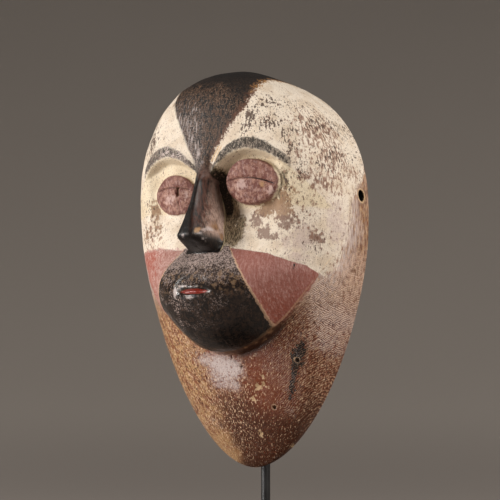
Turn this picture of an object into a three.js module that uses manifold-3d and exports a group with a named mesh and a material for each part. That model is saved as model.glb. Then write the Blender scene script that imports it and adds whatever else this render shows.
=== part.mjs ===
// A carved wooden face mask of the Galoa people's kind, held by a black rod on a flat foot.
// Millimetres, +Z up, face towards -Y. The origin is the middle of the foot's underside.
//
// The mask is worked out in its own frame: x runs across the face, depth runs forward from the flat
// rim at the back, and height runs up from the lower tip. Every carved form is a function of x and
// height that adds depth to a plain egg-shaped shell.

import * as THREE from 'three';
import { mergeVertices } from 'three/addons/utils/BufferGeometryUtils.js';
import Module from 'manifold-3d';

const wasm = await Module();
wasm.setup();

// Driving dimensions of the whole object
const MASK_HEIGHT = 300;
const HALF_WIDTH = 91.7;
const SHELL_DEPTH = 89.3;
const LEAN_DEG = 4.4;
const SIDE_WALL = 11;
const CROWN_WALL = 14;
const TIP_WALL = 22;
const FRONT_WALL = 20;

// The hollow behind the muzzle: the share of its bulge that is carved out, and how soon above the chin
const MUZZLE_ROOM = { share: 0.5, run: 30 };

// Heights of the widest and of the deepest point of the shell
const WIDEST_AT = 174;
const DEEPEST_AT = 238;

// Powers that shape the outline, the profile and the section, above and below those points
const OUTLINE = { above: [2.67, 1.69], below: [1.67, 1.88], soft: 0.12 };
const PROFILE = { above: [3.8, 2.8], below: [1.2, 1.2], soft: 0.14 };
const SECTION = { above: 2.85, lower: 0.8 };

// Jaw edge: a curve that drops to the chin and rises to the outer corners of the red cheeks
const JAW = { chin: 82, rise: 57, reach: 76, power: 2.1, leftLift: 8, leftOver: 60 };
const JAW_STEP = { height: 6.5, bevel: 1, fadeFrom: 130, fadeTo: 170, thin: 3 };

// Muzzle: the black bulge between the two cheek ridges
const MUZZLE = { lift: 27, crown: 0.22, round: 40, fadeFrom: 102, fadeTo: 192 };
const CHEEK_RIDGE = { top: 156, inner: 20, outer: 44.5, fall: 50, past: 1.2, pinch: 13.5, pinchRun: 41 };

// Brows: each edge is an arc with a height in the middle and a sag over half its span
const BROW_LOWER = { height: 227, sag: 11, middle: 36, span: 26 };
const BROW_UPPER = { height: 235, sag: 16, middle: 37, span: 28 };
const BROW = { lift: 2, from: 4, to: 14, fadeFrom: 56, fadeTo: 68, leftDrop: 1.5 };

// Eye sockets: how deep, and where they start beside the nose, run out sideways and rise below
const SOCKET = { depth: 7.5, noseDepth: 3.8, noseFrom: 8, noseTo: 38, outFrom: 44, outTo: 68 };
const SOCKET_FLOOR = { from: 160, to: 192, edge: 4.5 };

// Eye discs: across, up, half width, half height, rise of the rim
const EYES = [
  { x: 34.3, z: 204.2, rx: 21.8, rz: 16.6, rim: 4.1 },
  { x: -34, z: 199, rx: 19, rz: 14.8, rim: 1.6 },
];
const EYE = { dome: 1.5, edge: 0.94 };

// Nose, each as height and value: depth and half width of the ridge, how far its middle lies aside,
// how square its section is, and how softly it meets the face
const NOSE_DEPTH = [[140, 113], [163, 108.5], [170, 106], [179, 102.5], [190, 98], [200, 94.3], [213, 90.3],
  [222, 88], [236, 83]];
const NOSE_HALF = [[150, 14], [160, 14.6], [175, 10], [186, 7.6], [197, 6], [210, 5.4], [225, 7], [236, 9]];
const NOSE_ASIDE = [[150, -1.2], [165, -0.6], [185, -1.5], [205, -2.2], [222, -1.2], [240, 0]];
const NOSE_POWER = [[150, 4], [165, 4], [185, 3.4], [225, 2.4]];
const NOSE_BLEND = [[165, 2], [200, 4], [236, 7]];
const NOSE = { top: 240, leastRise: 2, sunk: 2 };

// Underside of the nose: a slope that starts at the lip and is rounded into the ridge
const NOSE_UNDER = { height: 153.6, depth: 88, slope: 3.6, rise: 1.6, half: 14, blend: 6 };

// Mouth: lips that stand out a little round a short slit
const MOUTH = { x: 0.5, z: 122, half: 17, height: 8.5, lift: 2.6, steep: 2 };
const MOUTH_SLIT = { half: 12, height: 2, depth: 3.6, square: 4 };

// Hole for a cord in each side of the rim
const CORD_HOLE = { height: 202, depth: 11, radius: 4.5, sides: 16, drill: 60 };

// Stand: a flat foot, and a round rod that rises behind the rim and bends forward under the crown
const FOOT = { width: 120, depth: 140, thick: 10, bevel: 1, corner: 3, cornerSides: 3 };
const ROD = { radius: 3.5, back: 40, behindRim: 4.45, socket: 6, bend: 10, reach: 25, under: 0.9 };
const PROP = { radius: 2.5, height: 12, sides: 12 };
const ROD_SIDES = 16;
const ROD_STEPS = 48;
const TIP_CLEARANCE = 60;
const GAP = 0.3;
const LEAN = THREE.MathUtils.degToRad(LEAN_DEG);
const MASK_Y = ROD.back - ROD.behindRim;
const MASK_Z = FOOT.thick + TIP_CLEARANCE + (MASK_HEIGHT / 2) * Math.cos(LEAN);

// Finishes
const WOOD = { color: 0x8a6a50, roughness: 0.5, metalness: 0 };
const BLACK_STEEL = { color: 0x151413, roughness: 0.45, metalness: 0.3 };

// Mesh: columns per side between the nose's side, the cheek ridge and the rim, and those two lines
// as height and distance from the middle, with the most of the half width that each may take
const COLUMNS = { nose: 5, muzzle: 7, cheek: 14 };
const NOSE_LINE = [[0, 4], [100, 10], [150, 16], [160, 15.5], [175, 10.5], [186, 8], [197, 6.5], [210, 5.8],
  [225, 5], [300, 8]];
const RIDGE_LINE = [[156, 21], [175, 22], [200, 24], [300, 30]];
const RIDGE_MARGIN = 0.5;
const LINE_LIMIT = { nose: 0.3, ridge: 0.6 };
const INNER_COLUMNS = 12;

// Mesh: rows below the jaw, between the lines across the face, and above the brows
const ROWS = { neck: 12, forehead: 15 };
const STEP_HALF = 1.5;
const LIP_HALF = 3.4;
const FACE_ROWS = [
  { height: MOUTH.z - LIP_HALF, share: 0.14, rows: 4 },
  { height: MOUTH.z, share: 0.19, rows: 1 },
  { height: MOUTH.z + LIP_HALF, share: 0.24, rows: 1 },
  { height: 152.5, share: 0.4, rows: 4 },
  { height: 161.5, share: 0.48, rows: 2 },
  { height: EYES[0].z, share: 0.84, rows: 9 },
  { height: null, share: 1, rows: 5 },
];

// Rows run level this near the middle, and are spread evenly this far out
const LEVEL = { near: 22, far: 52 };

// Heights between which the jaw edge and the brow line are looked for
const JAW_SEARCH = [62, 200];
const BROW_SEARCH = [82, 240];
const HALVINGS = 40;
const SAME_POINT = 1e-3;
const TINY = 1e-6;

const clamp = THREE.MathUtils.clamp;

// Rises from 0 at a to 1 at b, flat at both ends
function ease(a, b, value) {
  return THREE.MathUtils.smootherstep(value, a, b);
}

// A power of t whose start is rounded, so that no crease shows where two curves meet
function softPower(t, power, soft) {
  const square = t * t;
  const fade = (square / (square + soft * soft)) * (1 + soft * soft);
  return Math.pow(t, power) * Math.pow(fade, Math.max(0, (2 - power) / 2));
}

// Value at a place on a list of places and values, with straight runs between them
function ladder(stations, place) {
  if (place <= stations[0][0]) return stations[0][1];
  for (let i = 1; i < stations.length; i += 1) {
    const [x0, y0] = stations[i - 1];
    const [x1, y1] = stations[i];
    if (place <= x1) return y0 + ((y1 - y0) * (place - x0)) / (x1 - x0);
  }
  return stations[stations.length - 1][1];
}

function softMax(a, b, width) {
  const h = clamp(0.5 + (0.5 * (a - b)) / width, 0, 1);
  return b + (a - b) * h + width * h * (1 - h);
}

function softMin(a, b, width) {
  return -softMax(-a, -b, width);
}

// Height profile that is 1 at the turning height and falls to 0 at the crown and at the tip
function turned(height, turn, shape) {
  if (height > turn) {
    const t = clamp((height - turn) / (MASK_HEIGHT - turn), 0, 1);
    return Math.pow(1 - Math.pow(t, shape.above[0]), 1 / shape.above[1]);
  }
  const t = clamp((turn - height) / turn, 0, 1);
  return Math.pow(Math.max(0, 1 - softPower(t, shape.below[0], shape.soft)), 1 / shape.below[1]);
}

const halfWidthAt = (height) => HALF_WIDTH * turned(height, WIDEST_AT, OUTLINE);
const shellDepthAt = (height) => SHELL_DEPTH * turned(height, DEEPEST_AT, PROFILE);

function sectionPower(height) {
  return SECTION.above - SECTION.lower * clamp((WIDEST_AT - height) / WIDEST_AT, 0, 1);
}

// A point on the plain shell's section, at an angle from the middle line
function shellPoint(angle, height) {
  const power = sectionPower(height);
  const s = Math.sin(angle);
  const c = Math.max(0, Math.cos(angle));
  const radius = Math.pow(Math.pow(Math.abs(s), power) + Math.pow(c, power), -1 / power);
  return { x: halfWidthAt(height) * s * radius, depth: shellDepthAt(height) * c * radius };
}

function jawHeight(x) {
  const m = Math.abs(x);
  const lift = x < 0 ? JAW.leftLift * ease(0, JAW.leftOver, m) : 0;
  return JAW.chin + JAW.rise * Math.pow(m / JAW.reach, JAW.power) + lift;
}

function jawSlope(m) {
  return ((JAW.rise * JAW.power) / JAW.reach) * Math.pow(m / JAW.reach, JAW.power - 1);
}

// Distance above the jaw edge
function aboveJaw(x, height) {
  const slope = jawSlope(Math.abs(x));
  return (height - jawHeight(x)) / Math.sqrt(1 + slope * slope);
}

// Half width of the black muzzle at a height
function cheekRidge(height) {
  const { top, inner, outer, fall, past, pinch, pinchRun } = CHEEK_RIDGE;
  if (height < top) {
    const t = clamp((top - height) / fall, 0, past);
    return inner + (outer - inner) * Math.sin((t * Math.PI) / 2);
  }
  return inner - pinch * clamp((height - top) / pinchRun, 0, 1);
}

// Where the cheek runs out sideways at a height
function cheekEnd(height) {
  const t = clamp((height - JAW.chin) / JAW.rise, SAME_POINT, 1);
  return JAW.reach * Math.pow(t, 1 / JAW.power);
}

// The muzzle, the cheeks that fall back from it, and the step at the jaw edge
function lowerFace(x, height) {
  const m = Math.abs(x);
  const ridge = cheekRidge(height);
  const inside = ease(-JAW_STEP.bevel, JAW_STEP.bevel, aboveJaw(x, height));
  const inner = Math.sign(x) * Math.min(m, ridge);
  const q = clamp(aboveJaw(inner, height) / MUZZLE.round, 0, 1);
  const swell = Math.sqrt(1 - (1 - q) * (1 - q));
  const fade = 1 - ease(MUZZLE.fadeFrom, MUZZLE.fadeTo, height);
  const end = Math.max(cheekEnd(height), ridge + 1);
  const crown = 1 + MUZZLE.crown * (1 - Math.pow(clamp(m / ridge, 0, 1), 2));
  const slope = 1 - clamp((m - ridge) / (end - ridge), 0, 1);
  const across = m < ridge ? crown : slope;
  const thin = Math.max(0, 1 - Math.pow(m / JAW.reach, JAW_STEP.thin));
  const step = JAW_STEP.height * thin * (1 - ease(JAW_STEP.fadeFrom, JAW_STEP.fadeTo, height));
  return (step + MUZZLE.lift * fade * swell * across) * inside;
}

const browArc = (arc, m) => arc.height - arc.sag * Math.pow((m - arc.middle) / arc.span, 2);
const browDrop = (x) => (x < 0 ? BROW.leftDrop : 0);

// The raised brows and the sockets below them
function upperFace(x, height) {
  const m = Math.abs(x);
  const low = browArc(BROW_LOWER, m) - browDrop(x);
  const high = browArc(BROW_UPPER, m) - browDrop(x);
  const under = ease(0, SOCKET_FLOOR.edge, low - height);
  const floor = ease(SOCKET_FLOOR.from, SOCKET_FLOOR.to, height);
  const outside = 1 - ease(SOCKET.outFrom, SOCKET.outTo, m);
  const depth = SOCKET.depth + SOCKET.noseDepth * (1 - ease(SOCKET.noseFrom, SOCKET.noseTo, m));
  const half = Math.max(1, (high - low) / 2 + BROW.leftDrop);
  const along = ease(BROW.from, BROW.to, m) * (1 - ease(BROW.fadeFrom, BROW.fadeTo, m));
  const brow = BROW.lift * Math.exp(-Math.pow((height - (low + high) / 2) / half, 2)) * along;
  return brow - depth * under * floor * outside;
}

function eyeDisc(eye, x, height) {
  const radius = Math.hypot((x - eye.x) / eye.rx, (height - eye.z) / eye.rz);
  const dome = EYE.dome * Math.sqrt(Math.max(0, 1 - radius * radius));
  return eye.rim * (1 - ease(EYE.edge, 2 - EYE.edge, radius)) + dome;
}

function lips(x, height) {
  const across = (x - MOUTH.x) / MOUTH.half;
  const up = (height - MOUTH.z) / MOUTH.height;
  const swell = MOUTH.lift * Math.exp(-MOUTH.steep * (across * across + up * up));
  const slitAcross = (x - MOUTH.x) / MOUTH_SLIT.half;
  const slitUp = (height - MOUTH.z) / MOUTH_SLIT.height;
  const fall = Math.pow(slitAcross, MOUTH_SLIT.square) + slitUp * slitUp;
  return swell - MOUTH_SLIT.depth * Math.exp(-fall);
}

// Depth of the nose's own surface, given the face behind it
function noseDepth(x, height, face) {
  if (height > NOSE.top) return -MASK_HEIGHT;
  const aside = x - ladder(NOSE_ASIDE, height);
  const bottom = NOSE_UNDER.height + NOSE_UNDER.rise * Math.pow(aside / NOSE_UNDER.half, 2);
  const under = NOSE_UNDER.depth + (height - bottom) * NOSE_UNDER.slope;
  const ridge = softMin(ladder(NOSE_DEPTH, height), under, NOSE_UNDER.blend);
  const rise = Math.max(NOSE.leastRise, ridge - face) + NOSE.sunk;
  const across = Math.abs(aside) / ladder(NOSE_HALF, height);
  return ridge - rise * Math.pow(across, ladder(NOSE_POWER, height));
}

// Depth of the carved face over a point of the plain shell
function carvedDepth(x, height, shell) {
  let face = shell + lowerFace(x, height) + upperFace(x, height) + lips(x, height);
  for (const eye of EYES) face += eyeDisc(eye, x, height);
  return softMax(face, noseDepth(x, height, face), ladder(NOSE_BLEND, height));
}

// Angle on the section at which the shell is x away from the middle
function angleAt(x, height) {
  const ratio = x / Math.max(halfWidthAt(height), SAME_POINT);
  if (ratio >= 1) return Math.PI / 2;
  const power = sectionPower(height);
  return Math.atan(Math.pow(Math.pow(1 / Math.max(ratio, TINY), power) - 1, -1 / power));
}

// Distance from the middle of the two lines that columns follow: the nose's side and the cheek ridge
function noseLine(side, height) {
  const wanted = ladder(NOSE_LINE, height) + side * ladder(NOSE_ASIDE, height);
  return Math.min(wanted, LINE_LIMIT.nose * halfWidthAt(height));
}

function ridgeLine(height) {
  const below = height < CHEEK_RIDGE.top;
  const wanted = below ? cheekRidge(height) + RIDGE_MARGIN : ladder(RIDGE_LINE, height);
  return Math.min(wanted, LINE_LIMIT.ridge * halfWidthAt(height));
}

// Section angle of a column at a height; its index runs from 0 in the middle to the last at the rim
function columnAngle({ index, side }, height) {
  const { nose, muzzle, cheek } = COLUMNS;
  const inner = noseLine(side, height);
  const outer = ridgeLine(height);
  if (index <= nose) return angleAt((inner * index) / nose, height);
  if (index <= nose + muzzle) return angleAt(inner + ((outer - inner) * (index - nose)) / muzzle, height);
  const start = angleAt(outer, height);
  return start + ((Math.PI / 2 - start) * (index - nose - muzzle)) / cheek;
}

const columnPoint = (column, height) => shellPoint(column.side * columnAngle(column, height), height);

// Height at which a column meets a line drawn over the face, found by halving
function meetLine(column, line, search) {
  let [under, over] = search;
  for (let i = 0; i < HALVINGS; i += 1) {
    const middle = (under + over) / 2;
    if (middle < line(columnPoint(column, middle).x)) under = middle;
    else over = middle;
  }
  return (under + over) / 2;
}

function browLine(x) {
  return browArc(BROW_LOWER, clamp(Math.abs(x), SOCKET.noseFrom, BROW.fadeTo)) - browDrop(x);
}

// Heights of a column's points, from the tip to the crown
function rowHeights(column) {
  const jaw = meetLine(column, jawHeight, JAW_SEARCH);
  const brow = meetLine(column, browLine, BROW_SEARCH);
  const low = jaw + STEP_HALF;
  const high = brow - SOCKET_FLOOR.edge;
  const far = ease(LEVEL.near, LEVEL.far, Math.abs(columnPoint(column, (low + high) / 2).x));
  const heights = [];
  for (let i = 0; i <= ROWS.neck; i += 1) {
    heights.push((jaw - STEP_HALF) * (1 - Math.cos((i / ROWS.neck) * (Math.PI / 2))));
  }
  heights.push(low);
  for (const { height, share, rows } of FACE_ROWS) {
    const even = low + (high - low) * share;
    const to = (height ?? even) * (1 - far) + even * far;
    const from = heights[heights.length - 1];
    for (let i = 1; i <= rows; i += 1) heights.push(from + ((to - from) * i) / rows);
  }
  heights.push(brow);
  for (let i = 1; i <= ROWS.forehead; i += 1) {
    const t = i / ROWS.forehead;
    heights.push(brow + ((MASK_HEIGHT - brow) * (t + Math.sin((t * Math.PI) / 2))) / 2);
  }
  return heights;
}

// The columns from the left rim to the right rim
function columnsAcross() {
  const last = COLUMNS.nose + COLUMNS.muzzle + COLUMNS.cheek;
  const columns = [];
  for (let i = -last; i <= last; i += 1) {
    columns.push({ index: Math.abs(i), side: i < 0 ? -1 : 1, onRim: Math.abs(i) === last });
  }
  return columns;
}

// Each skin is a list of columns, and each column a list of points
function outerSkin() {
  return columnsAcross().map((column) => rowHeights(column).map((height) => {
    const shell = columnPoint(column, height);
    const depth = column.onRim ? 0 : carvedDepth(shell.x, height, shell.depth);
    return [shell.x, depth, height];
  }));
}

// The hollow is the plain shell made smaller, with room behind the muzzle
function innerSkin() {
  const columns = [];
  const across = (HALF_WIDTH - SIDE_WALL) / HALF_WIDTH;
  const deep = (SHELL_DEPTH - FRONT_WALL) / SHELL_DEPTH;
  const up = (MASK_HEIGHT - CROWN_WALL - TIP_WALL) / MASK_HEIGHT;
  const rows = rowHeights(columnsAcross()[0]);
  for (let j = 0; j <= INNER_COLUMNS; j += 1) {
    const angle = (j / INNER_COLUMNS - 0.5) * Math.PI;
    const onRim = j === 0 || j === INNER_COLUMNS;
    columns.push(rows.map((height) => {
      const shell = shellPoint(angle, height);
      const x = shell.x * across;
      const level = TIP_WALL + height * up;
      const opened = MUZZLE_ROOM.share * ease(JAW.chin, JAW.chin + MUZZLE_ROOM.run, level);
      return [x, onRim ? 0 : shell.depth * deep + lowerFace(x, level) * opened, level];
    }));
  }
  return columns;
}

// A closed body from the two skins and the flat rim between them
function hollowBody(outer, inner) {
  const positions = [];
  const place = ([x, depth, height]) => new THREE.Vector3(x, -depth, height - MASK_HEIGHT / 2);
  const apart = (a, b) => a.distanceTo(b) >= SAME_POINT;
  const triangle = (a, b, c) => {
    if (!(apart(a, b) && apart(b, c) && apart(c, a))) return;
    for (const p of [a, b, c]) positions.push(p.x, p.y, p.z);
  };
  const sheet = (columns) => {
    for (let j = 0; j + 1 < columns.length; j += 1) {
      const left = columns[j].map(place);
      const right = columns[j + 1].map(place);
      for (let i = 0; i + 1 < left.length; i += 1) {
        if (left[i].distanceTo(right[i + 1]) < right[i].distanceTo(left[i + 1])) {
          triangle(left[i], right[i], right[i + 1]);
          triangle(left[i], right[i + 1], left[i + 1]);
        } else {
          triangle(left[i], right[i], left[i + 1]);
          triangle(right[i], right[i + 1], left[i + 1]);
        }
      }
    }
  };
  sheet(outer);
  sheet([...inner].reverse());
  sheet([inner[0], outer[0]]);
  sheet([outer[outer.length - 1], inner[inner.length - 1]]);
  const geometry = new THREE.BufferGeometry();
  geometry.setAttribute('position', new THREE.Float32BufferAttribute(positions, 3));
  return geometry;
}

// Closed geometry to a solid and back
function toSolid(geometry) {
  const bare = geometry.clone();
  bare.deleteAttribute('normal');
  bare.deleteAttribute('uv');
  const merged = mergeVertices(bare, SAME_POINT / 10);
  return new wasm.Manifold(new wasm.Mesh({
    numProp: 3,
    vertProperties: new Float32Array(merged.attributes.position.array),
    triVerts: new Uint32Array(merged.index.array),
  }));
}

function toGeometry(solid) {
  const mesh = solid.getMesh();
  const geometry = new THREE.BufferGeometry();
  geometry.setAttribute('position', new THREE.BufferAttribute(new Float32Array(mesh.vertProperties), 3));
  geometry.setIndex(new THREE.BufferAttribute(new Uint32Array(mesh.triVerts), 1));
  geometry.computeVertexNormals();
  return geometry;
}

function namedMesh(name, geometry, finish) {
  const mesh = new THREE.Mesh(geometry, new THREE.MeshStandardMaterial(finish));
  mesh.name = name;
  return mesh;
}

function cordHole(side) {
  const { radius, drill, sides, depth, height } = CORD_HOLE;
  const hole = new THREE.CylinderGeometry(radius, radius, drill, sides);
  hole.rotateZ(Math.PI / 2);
  hole.translate(side * HALF_WIDTH, -depth, height - MASK_HEIGHT / 2);
  return toSolid(hole);
}

function buildMask() {
  const body = toSolid(hollowBody(outerSkin(), innerSkin()));
  const pierced = body.subtract(cordHole(-1)).subtract(cordHole(1));
  const mesh = namedMesh('mask', toGeometry(pierced), WOOD);
  mesh.rotation.x = -LEAN;
  mesh.position.set(0, MASK_Y, MASK_Z);
  return mesh;
}

// Regular polygon round the origin
function roundSection(radius, sides) {
  const section = new THREE.Shape();
  for (let i = 0; i < sides; i += 1) {
    const angle = (i / sides) * 2 * Math.PI;
    const point = [radius * Math.cos(angle), radius * Math.sin(angle)];
    if (i === 0) section.moveTo(...point);
    else section.lineTo(...point);
  }
  return section;
}

// Round bar swept along the rod's line: up behind the rim, then forward under the crown
function rodBar() {
  const top = MASK_Z + (MASK_HEIGHT / 2 - CROWN_WALL) * Math.cos(LEAN) - ROD.radius - ROD.under;
  const foot = FOOT.thick - ROD.socket + GAP;
  const corner = new THREE.Vector3(0, ROD.back, top);
  const before = new THREE.Vector3(0, ROD.back, top - ROD.bend);
  const after = new THREE.Vector3(0, ROD.back - ROD.bend, top);
  const path = new THREE.CurvePath();
  path.add(new THREE.LineCurve3(new THREE.Vector3(0, ROD.back, foot), before));
  path.add(new THREE.QuadraticBezierCurve3(before, corner, after));
  path.add(new THREE.LineCurve3(after, new THREE.Vector3(0, ROD.back - ROD.reach, top)));
  const section = roundSection(ROD.radius, ROD_SIDES);
  return new THREE.ExtrudeGeometry(section, { steps: ROD_STEPS, bevelEnabled: false, extrudePath: path });
}

// Short peg from the rod to the back of the rim, just above the tip, that keeps the mask at its lean
function propBar() {
  const down = PROP.height - MASK_HEIGHT / 2;
  const rimY = MASK_Y + down * Math.sin(LEAN) + PROP.radius * Math.tan(LEAN) + GAP;
  const length = ROD.back - rimY;
  const bar = new THREE.CylinderGeometry(PROP.radius, PROP.radius, length, PROP.sides);
  bar.translate(0, rimY + length / 2, MASK_Z + down * Math.cos(LEAN));
  return bar;
}

function buildRod() {
  const solid = toSolid(rodBar()).add(toSolid(propBar()));
  return namedMesh('stand_rod', toGeometry(solid), BLACK_STEEL);
}

// Rectangle with rounded corners, centred on the origin
function plateOutline(width, depth, corner) {
  const outline = new THREE.Shape();
  const x = width / 2 - corner;
  const y = depth / 2 - corner;
  outline.absarc(x, y, corner, 0, Math.PI / 2);
  outline.absarc(-x, y, corner, Math.PI / 2, Math.PI);
  outline.absarc(-x, -y, corner, Math.PI, 1.5 * Math.PI);
  outline.absarc(x, -y, corner, 1.5 * Math.PI, 2 * Math.PI);
  return outline;
}

function buildFoot() {
  const { width, depth, thick, bevel, corner, cornerSides } = FOOT;
  const outline = plateOutline(width - 2 * bevel, depth - 2 * bevel, corner);
  const plate = new THREE.ExtrudeGeometry(outline, {
    depth: thick - 2 * bevel,
    bevelThickness: bevel,
    bevelSize: bevel,
    bevelSegments: 1,
    curveSegments: cornerSides,
  });
  plate.translate(0, 0, bevel);
  const wide = ROD.radius + GAP;
  const hole = new THREE.CylinderGeometry(wide, wide, 2 * ROD.socket, 2 * ROD_SIDES);
  hole.rotateX(Math.PI / 2);
  hole.translate(0, ROD.back, thick);
  return namedMesh('stand_base', toGeometry(toSolid(plate).subtract(toSolid(hole))), BLACK_STEEL);
}

const object = new THREE.Group();
object.add(buildMask(), buildRod(), buildFoot());

export default object;
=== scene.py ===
# The looks of a carved and painted face mask of the Galoa people's kind, on its rod and foot.
# The face is worked out in millimetres in the mask's own frame: x runs across the face, depth runs
# forward from the flat rim, and height runs up from the lower tip. Meshes are made in metres.

import math
from functools import reduce
from operator import add, mul

import bmesh
import bpy
import numpy as np
from mathutils import Matrix, Vector, noise


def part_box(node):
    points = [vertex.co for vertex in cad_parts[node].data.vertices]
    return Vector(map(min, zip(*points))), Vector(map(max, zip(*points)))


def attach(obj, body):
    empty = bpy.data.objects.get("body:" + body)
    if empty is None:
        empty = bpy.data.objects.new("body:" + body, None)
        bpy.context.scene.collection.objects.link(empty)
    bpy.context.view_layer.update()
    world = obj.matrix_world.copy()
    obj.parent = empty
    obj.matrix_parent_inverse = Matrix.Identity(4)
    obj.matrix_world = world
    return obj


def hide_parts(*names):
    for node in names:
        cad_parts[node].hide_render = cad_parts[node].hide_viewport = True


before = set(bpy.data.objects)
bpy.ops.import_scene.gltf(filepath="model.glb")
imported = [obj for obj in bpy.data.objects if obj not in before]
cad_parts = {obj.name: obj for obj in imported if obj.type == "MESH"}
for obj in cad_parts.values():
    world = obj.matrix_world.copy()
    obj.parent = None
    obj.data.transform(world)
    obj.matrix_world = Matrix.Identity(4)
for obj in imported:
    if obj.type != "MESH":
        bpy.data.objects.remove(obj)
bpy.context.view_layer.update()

MM = 0.001

# The mask's frame in the row frame
MASK_HEIGHT = 300.0
LEAN = math.radians(4.4)
mask_low, mask_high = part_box("mask")
MASK_Y = mask_high.y / MM - MASK_HEIGHT / 2 * math.sin(LEAN)
MASK_Z = mask_low.z / MM + MASK_HEIGHT / 2 * math.cos(LEAN)

# Plain shell
HALF_WIDTH = mask_high.x / MM
SHELL_DEPTH = 89.3
WIDEST_AT = 174.0
DEEPEST_AT = 238.0
OUTLINE = {"above": (2.67, 1.69), "below": (1.67, 1.88), "soft": 0.12}
PROFILE = {"above": (3.8, 2.8), "below": (1.2, 1.2), "soft": 0.14}
SECTION = {"above": 2.85, "lower": 0.8}
SIDE_WALL = 11.0
CROWN_WALL = 14.0
TIP_WALL = 22.0
FRONT_WALL = 20.0
BEHIND_MUZZLE = 0.5

# Jaw edge, muzzle and cheek ridges
JAW = {"chin": 82.0, "rise": 57.0, "least_rise": 0.1, "reach": 76.0, "power": 2.1, "step": 6.5, "bevel": 1.0,
       "left_lift": 8.0, "left_over": 60.0, "fade_from": 130.0, "fade_to": 170.0}
MUZZLE = {"lift": 27.0, "crown": 0.22, "round": 40.0, "full": 102.0, "gone": 192.0}
CHEEK_RIDGE = {"top": 156.0, "inner": 20.0, "outer": 44.5, "fall": 50.0, "fall_end": 1.2, "pinch": 13.5,
               "pinch_run": 41.0}

# Brows: height, sag, middle and half span of each edge
BROW_LOWER = {"height": 227.0, "sag": 11.0, "middle": 36.0, "span": 26.0}
BROW_UPPER = {"height": 235.0, "sag": 16.0, "middle": 37.0, "span": 28.0}
BROW = {"lift": 2.0, "begins": (4.0, 14.0), "ends": (56.0, 68.0), "left_drop": 1.5}
SOCKET = {"depth": 7.5, "nose_depth": 3.8, "nose_from": 8.0, "nose_to": 38.0, "out_from": 44.0,
          "out_to": 68.0}
SOCKET_FLOOR = {"from": 160.0, "to": 192.0, "edge": 4.5}

# Eye discs: middle across and up, half width, half height, rise of the rim
EYES = [
    {"x": 34.3, "z": 204.2, "rx": 21.8, "rz": 16.6, "rim": 4.1},
    {"x": -34.0, "z": 199.0, "rx": 19.0, "rz": 14.8, "rim": 1.6},
]
EYE = {"dome": 1.5, "edge": 0.94}

# Nose, each as height and value: depth and half width of the ridge, how far its middle lies aside,
# how square its section is, and how softly it meets the face
NOSE_DEPTH = [(140, 113), (163, 108.5), (170, 106), (179, 102.5), (190, 98), (200, 94.3), (213, 90.3),
              (222, 88), (236, 83)]
NOSE_HALF = [(150, 14), (160, 14.6), (175, 10), (186, 7.6), (197, 6), (210, 5.4), (225, 7), (236, 9)]
NOSE_ASIDE = [(150, -1.2), (165, -0.6), (185, -1.5), (205, -2.2), (222, -1.2), (240, 0)]
NOSE_POWER = [(150, 4), (165, 4), (185, 3.4), (225, 2.4)]
NOSE_BLEND = [(165, 2), (200, 4), (236, 7)]
NOSE = {"top": 240.0, "least_rise": 2.0, "sunk": 2.0}
NOSE_UNDER = {"height": 153.6, "depth": 88.0, "slope": 3.6, "rise": 1.6, "half": 14.0, "blend": 9.0}
MOUTH = {"x": 0.5, "z": 122.0, "half": 17.0, "height": 8.5, "lift": 2.6, "slit": 12.0, "slit_height": 2.0,
         "slit_depth": 3.6, "paint": 3.0}
CORD_HOLE = {"height": 202.0, "depth": 11.0, "radius": 4.5, "drill": 60.0, "sides": 40}

# Fine mesh: rows between the lines that they follow, and columns a side between theirs. Near the middle
# the rows keep to one level, and far from it they share out the height between the jaw and the brow
ROWS = {"neck": 92, "step": 5, "chin": 34, "lip": 8, "upper_lip": 30, "nostril": 14, "nose": 54,
        "bridge": 24, "brow": 6, "forehead": 64}
COLUMNS = {"nose": 14, "muzzle": 32, "cheek": 72}
CHEEK_SPREAD = 1.3
INNER_COLUMNS = 40
NOSE_COLUMNS_REACH = 0.3
MUZZLE_COLUMNS_REACH = 0.6
RIDGE_GAP = 0.5
STEP_HALF = 1.5
LIP_HALF = 3.4
JAW_SEARCH = (62.0, 200.0)
BROW_SEARCH = (82.0, 240.0)
HALVINGS = 40

# In metres: points nearer than the first are one, and faces thinner than the second are taken out
WELD = 2e-6
SLIVER = 1e-7

# Edges stay sharp where their faces meet at more than so many degrees
SHARP_WOOD = 62
SHARP_STEEL = 40
SHARP_FOOT = 60
CREST = {"base": 152.5, "front": 161.5, "eye": 204.0}
LEVEL_NEAR = 22.0
LEVEL_FAR = 52.0
SHARES = {"lip_low": 0.14, "lip": 0.19, "lip_high": 0.24, "base": 0.4, "front": 0.48, "eye": 0.84}
NOSE_LINE = [(0, 4), (100, 10), (150, 16), (160, 15.5), (175, 10.5), (186, 8), (197, 6.5), (210, 5.8),
             (225, 5), (300, 8)]
RIDGE_LINE = [(156, 21), (175, 22), (200, 24), (300, 30)]

# Uneven surface left by the knife: size in millimetres and height of each layer of lumps. It fades out
# towards the rim and towards both ends. Each layer is moved along, so that no two have their lumps together
LUMPS = [(30.0, 0.5), (11.0, 0.26), (4.5, 0.12)]
HOLLOW_LUMPS = [(26.0, 1.4), (9.0, 0.7)]
LUMPS_FADE = {"rim": 12.0, "hollow_rim": 14.0, "ends": 4.0}
LUMPS_SHIFT = (17.3, 5.1, 9.7)
HOLLOW_ROOM_RUN = 30.0

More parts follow.
